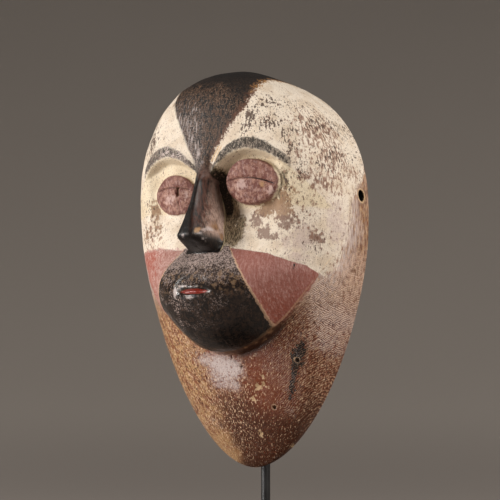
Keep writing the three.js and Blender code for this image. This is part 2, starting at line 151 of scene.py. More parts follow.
# Paint borders. Each list gives the height and the distance of the border at that height
WEDGE_RIGHT = [(205, 4.5), (214, 6), (222, 8.5), (231, 13.5), (241, 19.7), (254, 29.4), (262, 33.6),
               (270, 36.2), (300, 36.6)]
WEDGE_LEFT = [(205, 4.5), (214, 6), (222, 8), (230, 13.4), (238, 17), (247, 22), (255, 26.5), (267, 31.8),
              (300, 31.7)]
FLANK_DEPTH = [(137, 40), (147, 34), (166, 30), (190, 26), (206, 18), (220, 7), (230, -3), (240, -12),
               (300, -20)]
RED_TOP_RIGHT = [(17, 155.5), (30, 154), (47, 151.5), (61, 146.5), (69, 144.5), (75, 139.7), (82, 134)]
RED_TOP_LEFT = [(17, 155), (32, 157), (50, 160), (80, 161)]
MUZZLE_TOP = 157.0
WEDGE_FOOT = 200.0
CRESCENT_FOOT = 186.0
BROW_PAINT = {"from": 4.0, "to": 63.0, "taper": 0.4}
RED_PAST_FLANK = 6.0
JAW_LINE = {"above": 0.6, "half": 0.14, "soft": 0.16}
NOSE_PAINT = {"wider": 1.0, "under": 2.0}

# Limits that tell the hollow and the rim from the outside
INSIDE = {"width": 0.7, "top": 289.0, "rim": 14.0}
SIDE_FROM = 60.0
BORE_EDGE = 0.5
FAR = 20.0

# The strokes of the neck flow in towards its tip: x is brought to a shell of one half width
FLOW = {"width": 60.0, "least": 30.0}

# Slit across each eye disc: height at the peak, where the peak is, how it bends, and how it begins and ends
SLITS = [
    {"height": 206.9, "peak": 28.0, "bend": 0.008, "begins": (14.0, 17.0), "ends": (51.5, 54.5)},
    {"height": 204.6, "peak": -38.0, "bend": 0.007, "begins": (-52.5, -49.5), "ends": (-22.0, -19.0)},
]

# Small holes and dents: across, up, radius
HOLES = [(28.8, 44.0, 1.3), (8.1, 72.6, 0.8), (52.1, 77.9, 1.3), (2.6, 157.3, 0.7), (1.3, 155.7, 0.7)]
CHIPS = [(13.3, 49.7, 2.0), (16.0, 52.5, 1.4), (20.0, 58.7, 2.8), (24.5, 59.5, 2.6), (25.0, 66.0, 1.5),
         (33.2, 16.0, 1.4), (-11.3, 48.4, 1.8), (-7.0, 46.0, 1.2), (13.7, 24.9, 2.2), (33.6, 16.5, 1.6)]

# Places of wear, and places of painted shade and painted highlights: across, up, reach across, reach up,
# strength
WEAR_AND_PAINTED_LIGHT = {
    "ochre": [(50, 187, 13, 6, 1.1), (58, 183, 8, 10, 1.0), (42, 182, 8, 5, 0.9), (60, 193, 5, 9, 0.8),
        (66, 196, 4, 8, 0.5), (-56, 189, 5, 9, 0.9), (-53, 176, 6, 6, 0.7), (-66, 172, 8, 8, 0.7)],
    "purple": [(37, 176, 6, 6, 1.0), (44, 167, 5.5, 6.5, 1.1), (60, 175, 9, 7, 0.9), (50, 164, 8, 4, 0.7),
        (77, 165, 6, 8, 0.8), (79, 204, 5, 6, 0.5)],
    "lilac": [(70, 164, 12, 12, 0.9), (66, 150, 9, 6, 0.8), (60, 160, 9, 9, 0.7), (86, 176, 5, 24, 0.8)],
    "drip": [(75, 242, 10, 18, 1.25), (82, 226, 9, 20, 1.25), (78, 212, 9, 15, 1.1), (66, 252, 9, 10, 1.0),
        (71, 209, 5, 7, 1.3), (84, 206, 6, 14, 1.1), (66, 226, 7, 12, 0.9), (88, 220, 4, 12, 1.2),
        (52, 248, 12, 9, 0.6), (76, 188, 9, 14, 0.6), (76, 165, 5, 7, 1.0), (80, 250, 7, 10, 1.1),
        (-70, 215, 8, 30, 0.5), (-60, 170, 14, 14, 0.9)],
    "dashes": [(37, 251, 8, 10, 1.35), (49, 247, 9, 9, 1.2), (62, 241, 9, 8, 1.1), (46, 262, 12, 8, 1.0),
        (34, 243, 5, 7, 1.3), (64, 228, 6, 9, 1.15), (70, 212, 5, 9, 1.1), (58, 150, 9, 6, 0.6),
        (72, 250, 10, 14, 1.0), (60, 262, 10, 8, 0.8), (-55, 242, 12, 20, 1.2), (-64, 180, 12, 30, 0.7),
        (82, 224, 8, 20, 0.9), (62, 201, 4, 10, 1.05), (74, 158, 8, 12, 0.6), (70, 185, 14, 14, 0.5)],
    # Dark grime in a few places, and painted shade in the hollows on both sides of the nose
    "grime_and_shade": [(60, 204, 4, 10, 0.9), (57, 192, 5, 6, 0.9), (8, 203, 6, 13, 1.6), (12, 190, 6, 10, 1.5),
        (15, 178, 7, 12, 1.4), (20, 165, 8, 9, 1.3), (24, 173, 5, 9, 1.1), (28, 268, 12, 3, 0.4),
        (-13, 190, 3, 16, 0.4)],
    # Near-black painted shadow that the nose throws onto the right eye socket
    "nose_shadow": [(8, 204, 5, 9, 1.4), (9.5, 196, 5, 9, 1.4), (12, 187, 4, 7, 1.0)],
    # Pale gloss on the neck and the right flank: painted reflections on the varnish
    "sheen": [(-22, 78, 11, 7, 0.9), (-9, 73, 15, 10, 1.35), (3, 71, 8, 9, 1.1), (-11, 63, 12, 9, 0.8),
        (-2, 60, 8, 6, 0.8), (78, 112, 13, 15, 0.95), (86, 140, 7, 14, 0.8), (72, 92, 10, 12, 0.6)],
    # Pale spots on the eye discs: painted highlights
    "pale": [(27.8, 202.0, 5.5, 4.2, 1.3), (-39, 196, 5.6, 4.6, 1.0), (50.5, 197, 3.6, 3.4, 1.2),
        (-24, 198, 3, 5, 0.8)],
    "amber": [(44.5, 201.4, 2.8, 2.8, 1.0), (7.2, 165.2, 1.2, 2.8, 1.3), (34, 271, 3, 2, 0.7)],
    # Painted highlights on the nose, its bridge and the lips
    "glint": [(-1.4, 161.3, 1.3, 1.6, 1.1), (9.0, 168.0, 1.2, 3.2, 0.9), (8.6, 163.6, 0.9, 1.6, 0.8),
        (-4.6, 225.5, 2.6, 4.2, 0.8), (-1.0, 218.0, 2.2, 3.0, 0.6), (9.8, 159.6, 0.9, 1.8, 0.7),
        (-16.4, 121.8, 1.8, 3.6, 1.5), (-9.0, 126.4, 6.4, 1.1, 1.0), (-1.6, 117.4, 4.2, 1.2, 0.9)],
}

# Dark patch on the neck: across, up, half width
PATCH = [(58.6, 90.5, 1.6), (54.6, 84.0, 4.0), (52.1, 77.0, 3.4), (48.5, 68.0, 1.8), (42.4, 50.8, 1.2)]


def ease(a, b, value):
    """Rises from 0 at a to 1 at b, flat at both ends."""
    t = np.clip((value - a) / (b - a), 0, 1)
    return t * t * t * (10 - 15 * t + 6 * t * t)


def between(begins, ends, value):
    """Rises from 0 to 1 over one range and falls back over another."""
    return ease(*begins, value) * (1 - ease(*ends, value))


def soft_power(t, power, soft):
    square = t * t
    fade = square / (square + soft * soft) * (1 + soft * soft)
    return t ** power * fade ** max(0.0, (2 - power) / 2)


def ladder(stations, value):
    return np.interp(value, [s[0] for s in stations], [s[1] for s in stations])


def soft_max(a, b, width):
    h = np.clip(0.5 + 0.5 * (a - b) / width, 0, 1)
    return b + (a - b) * h + width * h * (1 - h)


def soft_min(a, b, width):
    return -soft_max(-a, -b, width)


def turned(height, turn, shape):
    """Height profile that is 1 at the turning height and falls to 0 at the crown and at the tip."""
    up = np.clip((height - turn) / (MASK_HEIGHT - turn), 0, 1)
    down = np.clip((turn - height) / turn, 0, 1)
    above = (1 - up ** shape["above"][0]) ** (1 / shape["above"][1])
    left = np.maximum(0, 1 - soft_power(down, shape["below"][0], shape["soft"]))
    return np.where(height > turn, above, left ** (1 / shape["below"][1]))


def half_width_at(height):
    return HALF_WIDTH * turned(height, WIDEST_AT, OUTLINE)


def shell_depth_at(height):
    return SHELL_DEPTH * turned(height, DEEPEST_AT, PROFILE)


def section_power(height):
    return SECTION["above"] - SECTION["lower"] * np.clip((WIDEST_AT - height) / WIDEST_AT, 0, 1)


def shell_point(angle, height):
    power = section_power(height)
    s = np.sin(angle)
    c = np.maximum(0, np.cos(angle))
    radius = (np.abs(s) ** power + c ** power) ** (-1 / power)
    return half_width_at(height) * s * radius, shell_depth_at(height) * c * radius


def shell_depth(x, height):
    """Depth of the plain shell over a point of the face."""
    power = section_power(height)
    ratio = np.clip(np.abs(x) / np.maximum(half_width_at(height), 1e-6), 0, 1)
    return shell_depth_at(height) * (1 - ratio ** power) ** (1 / power)


def jaw_height(x):
    m = np.abs(x)
    lift = np.where(x < 0, JAW["left_lift"] * ease(0, JAW["left_over"], m), 0)
    return JAW["chin"] + JAW["rise"] * (m / JAW["reach"]) ** JAW["power"] + lift


def above_jaw(x, height):
    """Distance above the jaw edge."""
    slope = JAW["rise"] * JAW["power"] / JAW["reach"] * (np.abs(x) / JAW["reach"]) ** (JAW["power"] - 1)
    return (height - jaw_height(x)) / np.sqrt(1 + slope * slope)


def cheek_ridge(height):
    """Half width of the black muzzle at a height."""
    ridge = CHEEK_RIDGE
    t = np.clip((ridge["top"] - height) / ridge["fall"], 0, ridge["fall_end"])
    low = ridge["inner"] + (ridge["outer"] - ridge["inner"]) * np.sin(t * np.pi / 2)
    high = ridge["inner"] - ridge["pinch"] * np.clip((height - ridge["top"]) / ridge["pinch_run"], 0, 1)
    return np.where(height < ridge["top"], low, high)


def cheek_end(height):
    t = np.clip((height - JAW["chin"]) / JAW["rise"], JAW["least_rise"] / JAW["rise"], 1)
    return JAW["reach"] * t ** (1 / JAW["power"])


def lower_face(x, height):
    m = np.abs(x)
    ridge = cheek_ridge(height)
    inside = ease(-JAW["bevel"], JAW["bevel"], above_jaw(x, height))
    inner = np.sign(x) * np.minimum(m, ridge)
    q = np.clip(above_jaw(inner, height) / MUZZLE["round"], 0, 1)
    swell = np.sqrt(1 - (1 - q) ** 2)
    fade = 1 - ease(MUZZLE["full"], MUZZLE["gone"], height)
    end = np.maximum(cheek_end(height), ridge + 1)
    crown = 1 + MUZZLE["crown"] * (1 - np.clip(m / ridge, 0, 1) ** 2)
    slope = 1 - np.clip((m - ridge) / (end - ridge), 0, 1)
    across = np.where(m < ridge, crown, slope)
    thin = np.maximum(0, 1 - (m / JAW["reach"]) ** 3)
    edge = JAW["step"] * thin * (1 - ease(JAW["fade_from"], JAW["fade_to"], height))
    return (edge + MUZZLE["lift"] * fade * swell * across) * inside


def brow_arc(arc, m):
    return arc["height"] - arc["sag"] * ((m - arc["middle"]) / arc["span"]) ** 2


def brow_drop(x):
    return np.where(x < 0, BROW["left_drop"], 0)


def upper_face(x, height):
    m = np.abs(x)
    drop = brow_drop(x)
    low = brow_arc(BROW_LOWER, m)
    high = brow_arc(BROW_UPPER, m)
    under = ease(0, SOCKET_FLOOR["edge"], low - drop - height)
    floor = ease(SOCKET_FLOOR["from"], SOCKET_FLOOR["to"], height)
    outside = 1 - ease(SOCKET["out_from"], SOCKET["out_to"], m)
    depth = SOCKET["depth"] + SOCKET["nose_depth"] * (1 - ease(SOCKET["nose_from"], SOCKET["nose_to"], m))
    half = np.maximum(1, (high - low) / 2 + BROW["left_drop"])
    along = between(BROW["begins"], BROW["ends"], m)
    brow = BROW["lift"] * np.exp(-((height - (low + high) / 2 + drop) / half) ** 2) * along
    return brow - depth * under * floor * outside


def eye_radius(eye, x, height):
    return np.hypot((x - eye["x"]) / eye["rx"], (height - eye["z"]) / eye["rz"])


def eye_disc(eye, x, height):
    radius = eye_radius(eye, x, height)
    dome = EYE["dome"] * np.sqrt(np.maximum(0, 1 - radius * radius))
    return eye["rim"] * (1 - ease(EYE["edge"], 2 - EYE["edge"], radius)) + dome


def in_mouth(x, height, half, tall):
    """Where a point lies from the middle of the mouth, in half widths and half heights."""
    return (x - MOUTH["x"]) / half, (height - MOUTH["z"]) / tall


def lips(x, height):
    across, up = in_mouth(x, height, MOUTH["half"], MOUTH["height"])
    swell = MOUTH["lift"] * np.exp(-2 * (across ** 2 + up ** 2))
    across, up = in_mouth(x, height, MOUTH["slit"], MOUTH["slit_height"])
    return swell - MOUTH["slit_depth"] * np.exp(-across ** 4 - up ** 2)


def nose_depth(x, height, face):
    aside = x - ladder(NOSE_ASIDE, height)
    bottom = NOSE_UNDER["height"] + NOSE_UNDER["rise"] * (aside / NOSE_UNDER["half"]) ** 2
    under = NOSE_UNDER["depth"] + (height - bottom) * NOSE_UNDER["slope"]
    ridge = soft_min(ladder(NOSE_DEPTH, height), under, NOSE_UNDER["blend"])
    rise = np.maximum(NOSE["least_rise"], ridge - face) + NOSE["sunk"]
    depth = ridge - rise * (np.abs(aside) / ladder(NOSE_HALF, height)) ** ladder(NOSE_POWER, height)
    return np.where(height > NOSE["top"], -MASK_HEIGHT, depth)


def carved_depth(x, height, shell):
    """Depth of the carved face over a point of the plain shell."""
    face = shell + lower_face(x, height) + upper_face(x, height) + lips(x, height)
    for eye in EYES:
        face = face + eye_disc(eye, x, height)
    return soft_max(face, nose_depth(x, height, face), ladder(NOSE_BLEND, height))


def red_top(x):
    """Height of the border between the white and the red paint."""
    return np.where(x < 0, ladder(RED_TOP_LEFT, -x), ladder(RED_TOP_RIGHT, x))


def spread(places, x, height):
    """Strength of some soft-edged places, of wear and of painted shade and highlights."""
    total = np.zeros_like(x)
    for at, up, reach_across, reach_up, strength in places:
        here = strength * np.exp(-((x - at) / reach_across) ** 2 - ((height - up) / reach_up) ** 2)
        total = np.maximum(total, here)
    return total


def from_points(points, x, height):
    """How far inside the nearest of some round spots a point lies, in millimetres."""
    inside = np.full_like(x, -FAR)
    for at, up, radius in points:
        inside = np.maximum(inside, radius - np.hypot(x - at, height - up))
    return inside


def along_path(path, x, height):
    """How far inside a line of changing half width a point lies."""
    inside = np.full_like(x, -FAR)
    for (x0, z0, r0), (x1, z1, r1) in zip(path, path[1:]):
        run = (x1 - x0) ** 2 + (z1 - z0) ** 2
        t = np.clip(((x - x0) * (x1 - x0) + (height - z0) * (z1 - z0)) / run, 0, 1)
        gap = np.hypot(x - x0 - t * (x1 - x0), height - z0 - t * (z1 - z0))
        inside = np.maximum(inside, r0 + t * (r1 - r0) - gap)
    return inside


def above_slit(x, height):
    """Distance above the nearer eye's slit, and how much of the slit is there."""
    above = np.full_like(x, FAR)
    there = np.zeros_like(x)
    for slit in SLITS:
        here = (x > slit["begins"][0] - SLIT["margin"]) & (x < slit["ends"][1] + SLIT["margin"])
        line = slit["height"] - slit["bend"] * (x - slit["peak"]) ** 2
        above = np.where(here, height - line, above)
        there = np.where(here, between(slit["begins"], slit["ends"], x), there)
    return above, there


# Fine relief that the knife, wear and paint leave, added to the depth of the face
SLIT = {"depth": 1.3, "half": 0.75, "margin": 5.0}
FURROW = {"x": -30.6, "begins": (186.0, 190.0), "ends": (203.5, 205.5), "half": 0.8, "depth": 1.0,
          "deep_from": (197.0, 199.0), "deep": 2.2}
BORDER_GROOVE = {"depth": 0.5, "half": 0.9, "begins": (19.0, 23.0), "ends": (70.0, 78.0)}
DENT = {"depth": 2.6, "edge": (-0.4, 0.6)}
CHIP = {"depth": 0.6, "edge": (0.0, 1.2)}
CRACK_LEAN = 0.12
CHIN_CRACK = {"x": 1.0, "z": 79.8, "half": 0.5, "length": 2.6, "depth": 0.9}
SCRATCHES = [[(6.3, 219.5, 0.5), (13.3, 230.0, 0.4)], [(9.6, 219.0, 0.5), (15.6, 229.5, 0.4)]]
CHEEK_CRACK = {"x": 63.7, "z": 142.9, "half": 0.6, "length": 3.6, "depth": 0.9}


def crack(shape, x, height):
    across = (x - shape["x"]) / shape["half"]
    up = (height - shape["z"]) / shape["length"]
    return shape["depth"] * np.exp(-across ** 2 - up ** 4)


def crack_reach(shape, x, height):
    """How far from the middle of a crack a point lies, where 1 is its edge."""
    lean = x - shape["x"] - CRACK_LEAN * (height - shape["z"])
    return np.hypot(lean / shape["half"], (height - shape["z"]) / shape["length"])


def furrow_depth(x, height):
    """Depth of the upright cut in the left eye."""
    deep = FURROW["depth"] + FURROW["deep"] * ease(*FURROW["deep_from"], height)
    across = np.exp(-((x - FURROW["x"]) / FURROW["half"]) ** 2)
    return deep * across * between(FURROW["begins"], FURROW["ends"], height)


def fine_relief(x, height):
    above, there = above_slit(x, height)
    slit = SLIT["depth"] * there * np.exp(-(above / SLIT["half"]) ** 2)
    on_cheek = between(BORDER_GROOVE["begins"], BORDER_GROOVE["ends"], np.abs(x))
    across = (height - red_top(x)) / BORDER_GROOVE["half"]
    groove = BORDER_GROOVE["depth"] * on_cheek * np.exp(-across ** 2)
    dents = DENT["depth"] * ease(*DENT["edge"], from_points(HOLES, x, height))
    chips = CHIP["depth"] * ease(*CHIP["edge"], from_points(CHIPS, x, height))
    cracks = crack(CHIN_CRACK, x, height) + crack(CHEEK_CRACK, x, height)
    return -slit - furrow_depth(x, height) - groove - dents - chips - cracks


def lumps(layers, points):
    """Uneven height over a list of points."""
    total = np.zeros(len(points))
    for number, (size, height) in enumerate(layers):
        shift = Vector((LUMPS_SHIFT[0] * number, *LUMPS_SHIFT[1:]))
        total += [height * noise.noise(Vector(point) / size + shift) for point in points]
    return total


def angle_at(x, height):
    """Angle on the section at which the shell is x away from the middle."""
    ratio = np.clip(x / np.maximum(half_width_at(height), 1e-3), 1e-6, 1)
    power = section_power(height)
    return np.arctan2(ratio, (1 - ratio ** power) ** (1 / power))


def column_angle(side, index, height):
    nose, muzzle, cheek = COLUMNS["nose"], COLUMNS["muzzle"], COLUMNS["cheek"]
    half = half_width_at(height)
    beside_nose = ladder(NOSE_LINE, height) + side * ladder(NOSE_ASIDE, height)
    inner = np.minimum(beside_nose, NOSE_COLUMNS_REACH * half)
    beside_muzzle = cheek_ridge(height) + RIDGE_GAP
    wanted = np.where(height < CHEEK_RIDGE["top"], beside_muzzle, ladder(RIDGE_LINE, height))
    outer = np.minimum(wanted, MUZZLE_COLUMNS_REACH * half)
    near = angle_at(inner * index / nose, height)
    middle = angle_at(inner + (outer - inner) * (index - nose) / muzzle, height)
    start = angle_at(outer, height)
    run = np.clip((index - nose - muzzle) / cheek, 0, 1) ** CHEEK_SPREAD
    far = start + (np.pi / 2 - start) * run
    return np.where(index <= nose, near, np.where(index <= nose + muzzle, middle, far))


def meet_line(side, index, line, search):
    """Height at which each column meets a line drawn over the face, found by halving."""
    under = np.full(index.shape, search[0])
    over = np.full(index.shape, search[1])
    for _ in range(HALVINGS):
        middle = (under + over) / 2
        x = shell_point(side * column_angle(side, index, middle), middle)[0]
        below = middle < line(x)
        under = np.where(below, middle, under)
        over = np.where(below, over, middle)
    return (under + over) / 2


def brow_line(x):
    m = np.clip(np.abs(x), SOCKET["nose_from"], BROW["ends"][1])
    return brow_arc(BROW_LOWER, m) - brow_drop(x)


def row_heights(side, index):
    """Heights of the rows of each column, as an array of columns by rows."""
    jaw = meet_line(side, index, jaw_height, JAW_SEARCH)
    brow = meet_line(side, index, brow_line, BROW_SEARCH)
    low = jaw + STEP_HALF
    high = brow - SOCKET_FLOOR["edge"]
    middle = (low + high) / 2
    x = shell_point(side * column_angle(side, index, middle), middle)[0]
    far = ease(LEVEL_NEAR, LEVEL_FAR, np.abs(x))

    def level(height, share):
        return height * (1 - far) + (low + (high - low) * share) * far

    stops = [
        (low, ROWS["step"]),
        (level(MOUTH["z"] - LIP_HALF, SHARES["lip_low"]), ROWS["chin"]),
        (level(MOUTH["z"], SHARES["lip"]), ROWS["lip"]),
        (level(MOUTH["z"] + LIP_HALF, SHARES["lip_high"]), ROWS["lip"]),
        (level(CREST["base"], SHARES["base"]), ROWS["upper_lip"]),
        (level(CREST["front"], SHARES["front"]), ROWS["nostril"]),
        (level(CREST["eye"], SHARES["eye"]), ROWS["nose"]),
        (high, ROWS["bridge"]),
        (brow, ROWS["brow"]),
    ]
    shares = [1 - math.cos(i / ROWS["neck"] * math.pi / 2) for i in range(ROWS["neck"] + 1)]
    rows = [(jaw - STEP_HALF) * share for share in shares]
    for height, count in stops:
        start = rows[-1]
        rows += [start + (height - start) * i / count for i in range(1, count + 1)]
    start = rows[-1]
    for i in range(1, ROWS["forehead"] + 1):
        t = i / ROWS["forehead"]
        rows.append(start + (MASK_HEIGHT - start) * 0.5 * (t + math.sin(t * math.pi / 2)))
    return np.stack(rows, axis=1)


def to_row(x, depth, height):
    """From the mask's own frame in millimetres to the row frame in metres."""
    up = height - MASK_HEIGHT / 2
    y = MASK_Y - depth * math.cos(LEAN) + up * math.sin(LEAN)
    z = MASK_Z + depth * math.sin(LEAN) + up * math.cos(LEAN)
    return np.stack([x, y, z], axis=-1) * MM


def from_row(points):
    """The way back: x, depth and height of points of the row frame."""
    x, y, z = (points / MM).T
    y = y - MASK_Y
    z = z - MASK_Z
    depth = z * math.sin(LEAN) - y * math.cos(LEAN)
    height = y * math.sin(LEAN) + z * math.cos(LEAN) + MASK_HEIGHT / 2
    return x, depth, height


def grid_normals(points):
    across = np.gradient(points, axis=0)
    up = np.gradient(points, axis=1)
    normal = np.cross(across, up)
    return normal / np.maximum(np.linalg.norm(normal, axis=2, keepdims=True), 1e-9)


def outer_skin():
    last = sum(COLUMNS.values())
    number = np.arange(-last, last + 1)
    side = np.sign(number).astype(float)
    index = np.abs(number).astype(float)
    rows = row_heights(side, index)
    x, shell = shell_point(side[:, None] * column_angle(side[:, None], index[:, None], rows), rows)
    depth = carved_depth(x, rows, shell) + fine_relief(x, rows)
    points = np.stack([x, depth, rows], axis=-1)
    normals = grid_normals(points)
    rough = lumps(LUMPS, points.reshape(-1, 3)).reshape(rows.shape)
    from_rim = ease(0, LUMPS_FADE["rim"], shell)
    ends = ease(0, LUMPS_FADE["ends"], rows) * ease(0, LUMPS_FADE["ends"], MASK_HEIGHT - rows)
    points = points + normals * (rough * from_rim * ends)[:, :, None]
    points[[0, -1], :, 0] = x[[0, -1]]
    points[[0, -1], :, 1] = 0
    points[[0, -1], :, 2] = rows[[0, -1]]
    return points, rows


def inner_skin(rows):
    """The hollow is the plain shell made smaller, with room behind the muzzle."""
    heights = rows[0][None, :]
    angle = (np.arange(INNER_COLUMNS + 1) / INNER_COLUMNS - 0.5)[:, None] * np.pi
    x, shell = shell_point(angle, heights)
    x = x * (HALF_WIDTH - SIDE_WALL) / HALF_WIDTH
    up = (MASK_HEIGHT - CROWN_WALL - TIP_WALL) / MASK_HEIGHT
    level = np.broadcast_to(TIP_WALL + heights * up, x.shape)
    room = BEHIND_MUZZLE * lower_face(x, level) * ease(0, HOLLOW_ROOM_RUN, level - JAW["chin"])
    depth = shell * (SHELL_DEPTH - FRONT_WALL) / SHELL_DEPTH + room
    points = np.stack([x, depth, level], axis=-1)
    rough = lumps(HOLLOW_LUMPS, points.reshape(-1, 3)).reshape(x.shape)
    points[:, :, 1] += rough * ease(0, LUMPS_FADE["hollow_rim"], depth)
    points[[0, -1], :, 1] = 0
    return points


def new_object(name, mesh):
    made = bpy.data.objects.new(name, mesh)
    bpy.context.scene.collection.objects.link(made)
    return made


def write_out(body, mesh):
    """Writes what was built up into a mesh and lets it go."""
    body.to_mesh(mesh)
    body.free()
    return mesh


def mask_mesh():
    """Closed body from the two skins and the flat rim between them."""
    outer, rows = outer_skin()
    inner = inner_skin(rows)
    ring = np.concatenate([outer, inner[::-1]], axis=0)
    count, tall = ring.shape[:2]
    spots = to_row(ring[..., 0], ring[..., 1], ring[..., 2]).reshape(-1, 3)
    spots = np.clip(spots, np.array(mask_low), np.array(mask_high))
    j, i = np.meshgrid(np.arange(count), np.arange(tall - 1), indexing="ij")
    here, beside = j * tall + i, (j + 1) % count * tall + i
    faces = np.stack([here, beside, beside + 1, here + 1], axis=-1).reshape(-1, 4)
    mesh = bpy.data.meshes.new("mask_carving")
    mesh.from_pydata(spots.tolist(), [], faces.tolist())
    body = bmesh.new()
    body.from_mesh(mesh)
    bmesh.ops.remove_doubles(body, verts=body.verts, dist=WELD)
    bmesh.ops.dissolve_degenerate(body, edges=body.edges, dist=SLIVER)
    bmesh.ops.recalc_face_normals(body, faces=body.faces)
    return write_out(body, mesh)


def cut_round(piece, name, radius, length, sides, place):
    """Cuts a round hole into a piece."""
    body = bmesh.new()
    bmesh.ops.create_cone(body, cap_ends=True, segments=sides, radius1=radius, radius2=radius,
                          depth=length, matrix=place)
    cutter = new_object(name, write_out(body, bpy.data.meshes.new(name)))
    cut = piece.modifiers.new(name, "BOOLEAN")
    cut.operation = "DIFFERENCE"
    cut.solver = "EXACT"
    cut.object = cutter
    view = bpy.context.evaluated_depsgraph_get()
    piece.data = bpy.data.meshes.new_from_object(piece.evaluated_get(view))
    piece.modifiers.clear()
    bpy.data.objects.remove(cutter)


def cut_cord_holes(piece):
    for side in (-1, 1):
        spot = [np.array(v) for v in (side * HALF_WIDTH, CORD_HOLE["depth"], CORD_HOLE["height"])]
        place = Matrix.Translation(Vector(to_row(*spot))) @ Matrix.Rotation(math.pi / 2, 4, "Y")
        radius, length = CORD_HOLE["radius"] * MM, CORD_HOLE["drill"] * MM
        cut_round(piece, "drill", radius, length, CORD_HOLE["sides"], place)


def shade(mesh, sharp_deg):
    """Smooth shading, with edges kept sharp where two faces meet at more than an angle."""
    body = bmesh.new()
    body.from_mesh(mesh)
    for face in body.faces:
        face.smooth = True
    for edge in body.edges:
        edge.smooth = edge.calc_face_angle(0) < math.radians(sharp_deg)
    write_out(body, mesh)


def least(*values):
    return np.minimum.reduce(values)


def paint_fields(mesh):
    """Writes what the paint needs at each point: distances to its borders, and places of wear and of painted
    shade and highlights.
    """
    points = np.zeros(len(mesh.vertices) * 3)
    mesh.vertices.foreach_get("co", points)
    x, depth, height = from_row(points.reshape(-1, 3))
    m = np.abs(x)
    shell = shell_depth(x, height)
    above = above_jaw(x, height)
    ridge = cheek_ridge(height)
    slit, there = above_slit(x, height)
    left, right = ladder(WEDGE_LEFT, height), ladder(WEDGE_RIGHT, height)
    flank = shell - ladder(FLANK_DEPTH, height)
    aside = x - ladder(NOSE_ASIDE, height)
    nose_half = ladder(NOSE_HALF, height) + NOSE_PAINT["wider"]
    half_width = np.maximum(half_width_at(height), 1.0)
    power = section_power(height)
    across_share = m / half_width
    depth_share = np.maximum(depth, 0) / np.maximum(shell_depth_at(height), 1.0)
    within_shell = (1 - (across_share ** power + depth_share ** power) ** (1 / power)) * HALF_WIDTH
    inside = np.minimum(carved_depth(x, height, shell) - depth,
                        np.maximum(within_shell, INSIDE["width"] * half_width - m))
    inside = np.minimum(inside, np.maximum(INSIDE["top"] - height, INSIDE["rim"] * (1 - depth)))
    from_hole = np.hypot(depth - CORD_HOLE["depth"], height - CORD_HOLE["height"])
    from_hole = np.where(m > SIDE_FROM, from_hole, FAR)
    flow_x = x / np.maximum(half_width, FLOW["least"]) * FLOW["width"]
    under_brow = height - brow_arc(BROW_LOWER, m) + brow_drop(x)
    over_brow = brow_arc(BROW_UPPER, m) - height - brow_drop(x)
    brow_ends = np.minimum(m - BROW_PAINT["from"], (BROW_PAINT["to"] - m) * BROW_PAINT["taper"])
    eyes = [(1 - eye_radius(eye, x, height)) * eye["rz"] for eye in EYES]
    mouth = in_mouth(x, height, MOUTH["slit"], MOUTH["slit_height"])
    fields = {
        "under": inside,
        "jaw": above,
        "white": height - red_top(x),
        "flank": flank,
        "red": least(red_top(x) - height, above, m - ridge, flank + RED_PAST_FLANK),
        "muzzle": least(ridge - m, MUZZLE_TOP - height, above - JAW_LINE["above"]),
        "ridge": m - ridge,
        "wedge": least(right - aside, aside + left, height - WEDGE_FOOT),
        "brow": least(under_brow, over_brow, brow_ends),
        "crescent": least(-under_brow, height - CRESCENT_FOOT),
        "eye": np.maximum(eyes[0], eyes[1]),
        "lid": slit,
        "slit": there,
        "furrow": furrow_depth(x, height),
        "nose": least(nose_half - np.abs(aside), height - NOSE_UNDER["height"] + NOSE_PAINT["under"]),
        "foot": aside - nose_half,
        "nose_across": aside / nose_half,
        "mouth": (1 - np.hypot(*mouth)) * MOUTH["paint"],
        "patch": along_path(PATCH, x, height),
        "hole": from_points(HOLES, x, height),
        "chip": from_points(CHIPS, x, height),
        "cord": CORD_HOLE["radius"] - from_hole,
        "bore": np.where(from_hole < CORD_HOLE["radius"] + BORE_EDGE, within_shell, 0),
        "scratches": np.maximum(along_path(SCRATCHES[0], x, height), along_path(SCRATCHES[1], x, height)),
        "crack": 1 - np.minimum(crack_reach(CHEEK_CRACK, x, height), crack_reach(CHIN_CRACK, x, height)),
    }
    fields.update({name: spread(places, x, height) for name, places in WEAR_AND_PAINTED_LIGHT.items()})
    for name, values in fields.items():
        field = mesh.attributes.new(name, "FLOAT", "POINT")
        field.data.foreach_set("value", values.astype(np.float32))
    for name, first in (("place", x), ("flow", flow_x)):
        field = mesh.attributes.new(name, "FLOAT_VECTOR", "POINT")
        values = np.stack([first, depth, height], axis=-1)
        field.data.foreach_set("vector", values.astype(np.float32).ravel())


def linear(red, green, blue):
    """A colour given as it looks, from 0 to 255, as the numbers that a shader takes, by the sRGB curve."""
    looks = np.array([red, green, blue]) / 255
    low = looks / 12.92
    high = ((looks + 0.055) / 1.055) ** 2.4
    return (*np.where(looks <= 0.04045, low, high).tolist(), 1.0)


class Signal:
    """A number that changes over the surface. Sums and products of signals add the nodes for them."""

    def __init__(self, paint, value):
        self.paint = paint
        self.value = value

    def __add__(self, other):
        return self.paint.math("ADD", self, other)

    def __sub__(self, other):
        return self.paint.math("SUBTRACT", self, other)

    def __rsub__(self, other):
        return self.paint.math("SUBTRACT", other, self)

    def __mul__(self, other):
        return self.paint.math("MULTIPLY", self, other)

    def ramp(self, low, high, to_low=0.0, to_high=1.0):
        """The signal brought smoothly from one range into another."""
        made = self.paint.node("ShaderNodeMapRange", interpolation_type="SMOOTHSTEP")
        ranges = {"Value": self, "From Min": low, "From Max": high, "To Min": to_low, "To Max": to_high}
        for name, number in ranges.items():
            self.paint.feed(made.inputs[name], number)
        return Signal(self.paint, made.outputs["Result"])

    def about(self, width):
        """A texture made to vary about zero over a width."""
        return (self - 0.5) * width

    def near(self, half, soft):
        """1 where the signal is within some distance of zero."""
        return self.paint.math("ABSOLUTE", self).ramp(half + soft, half)


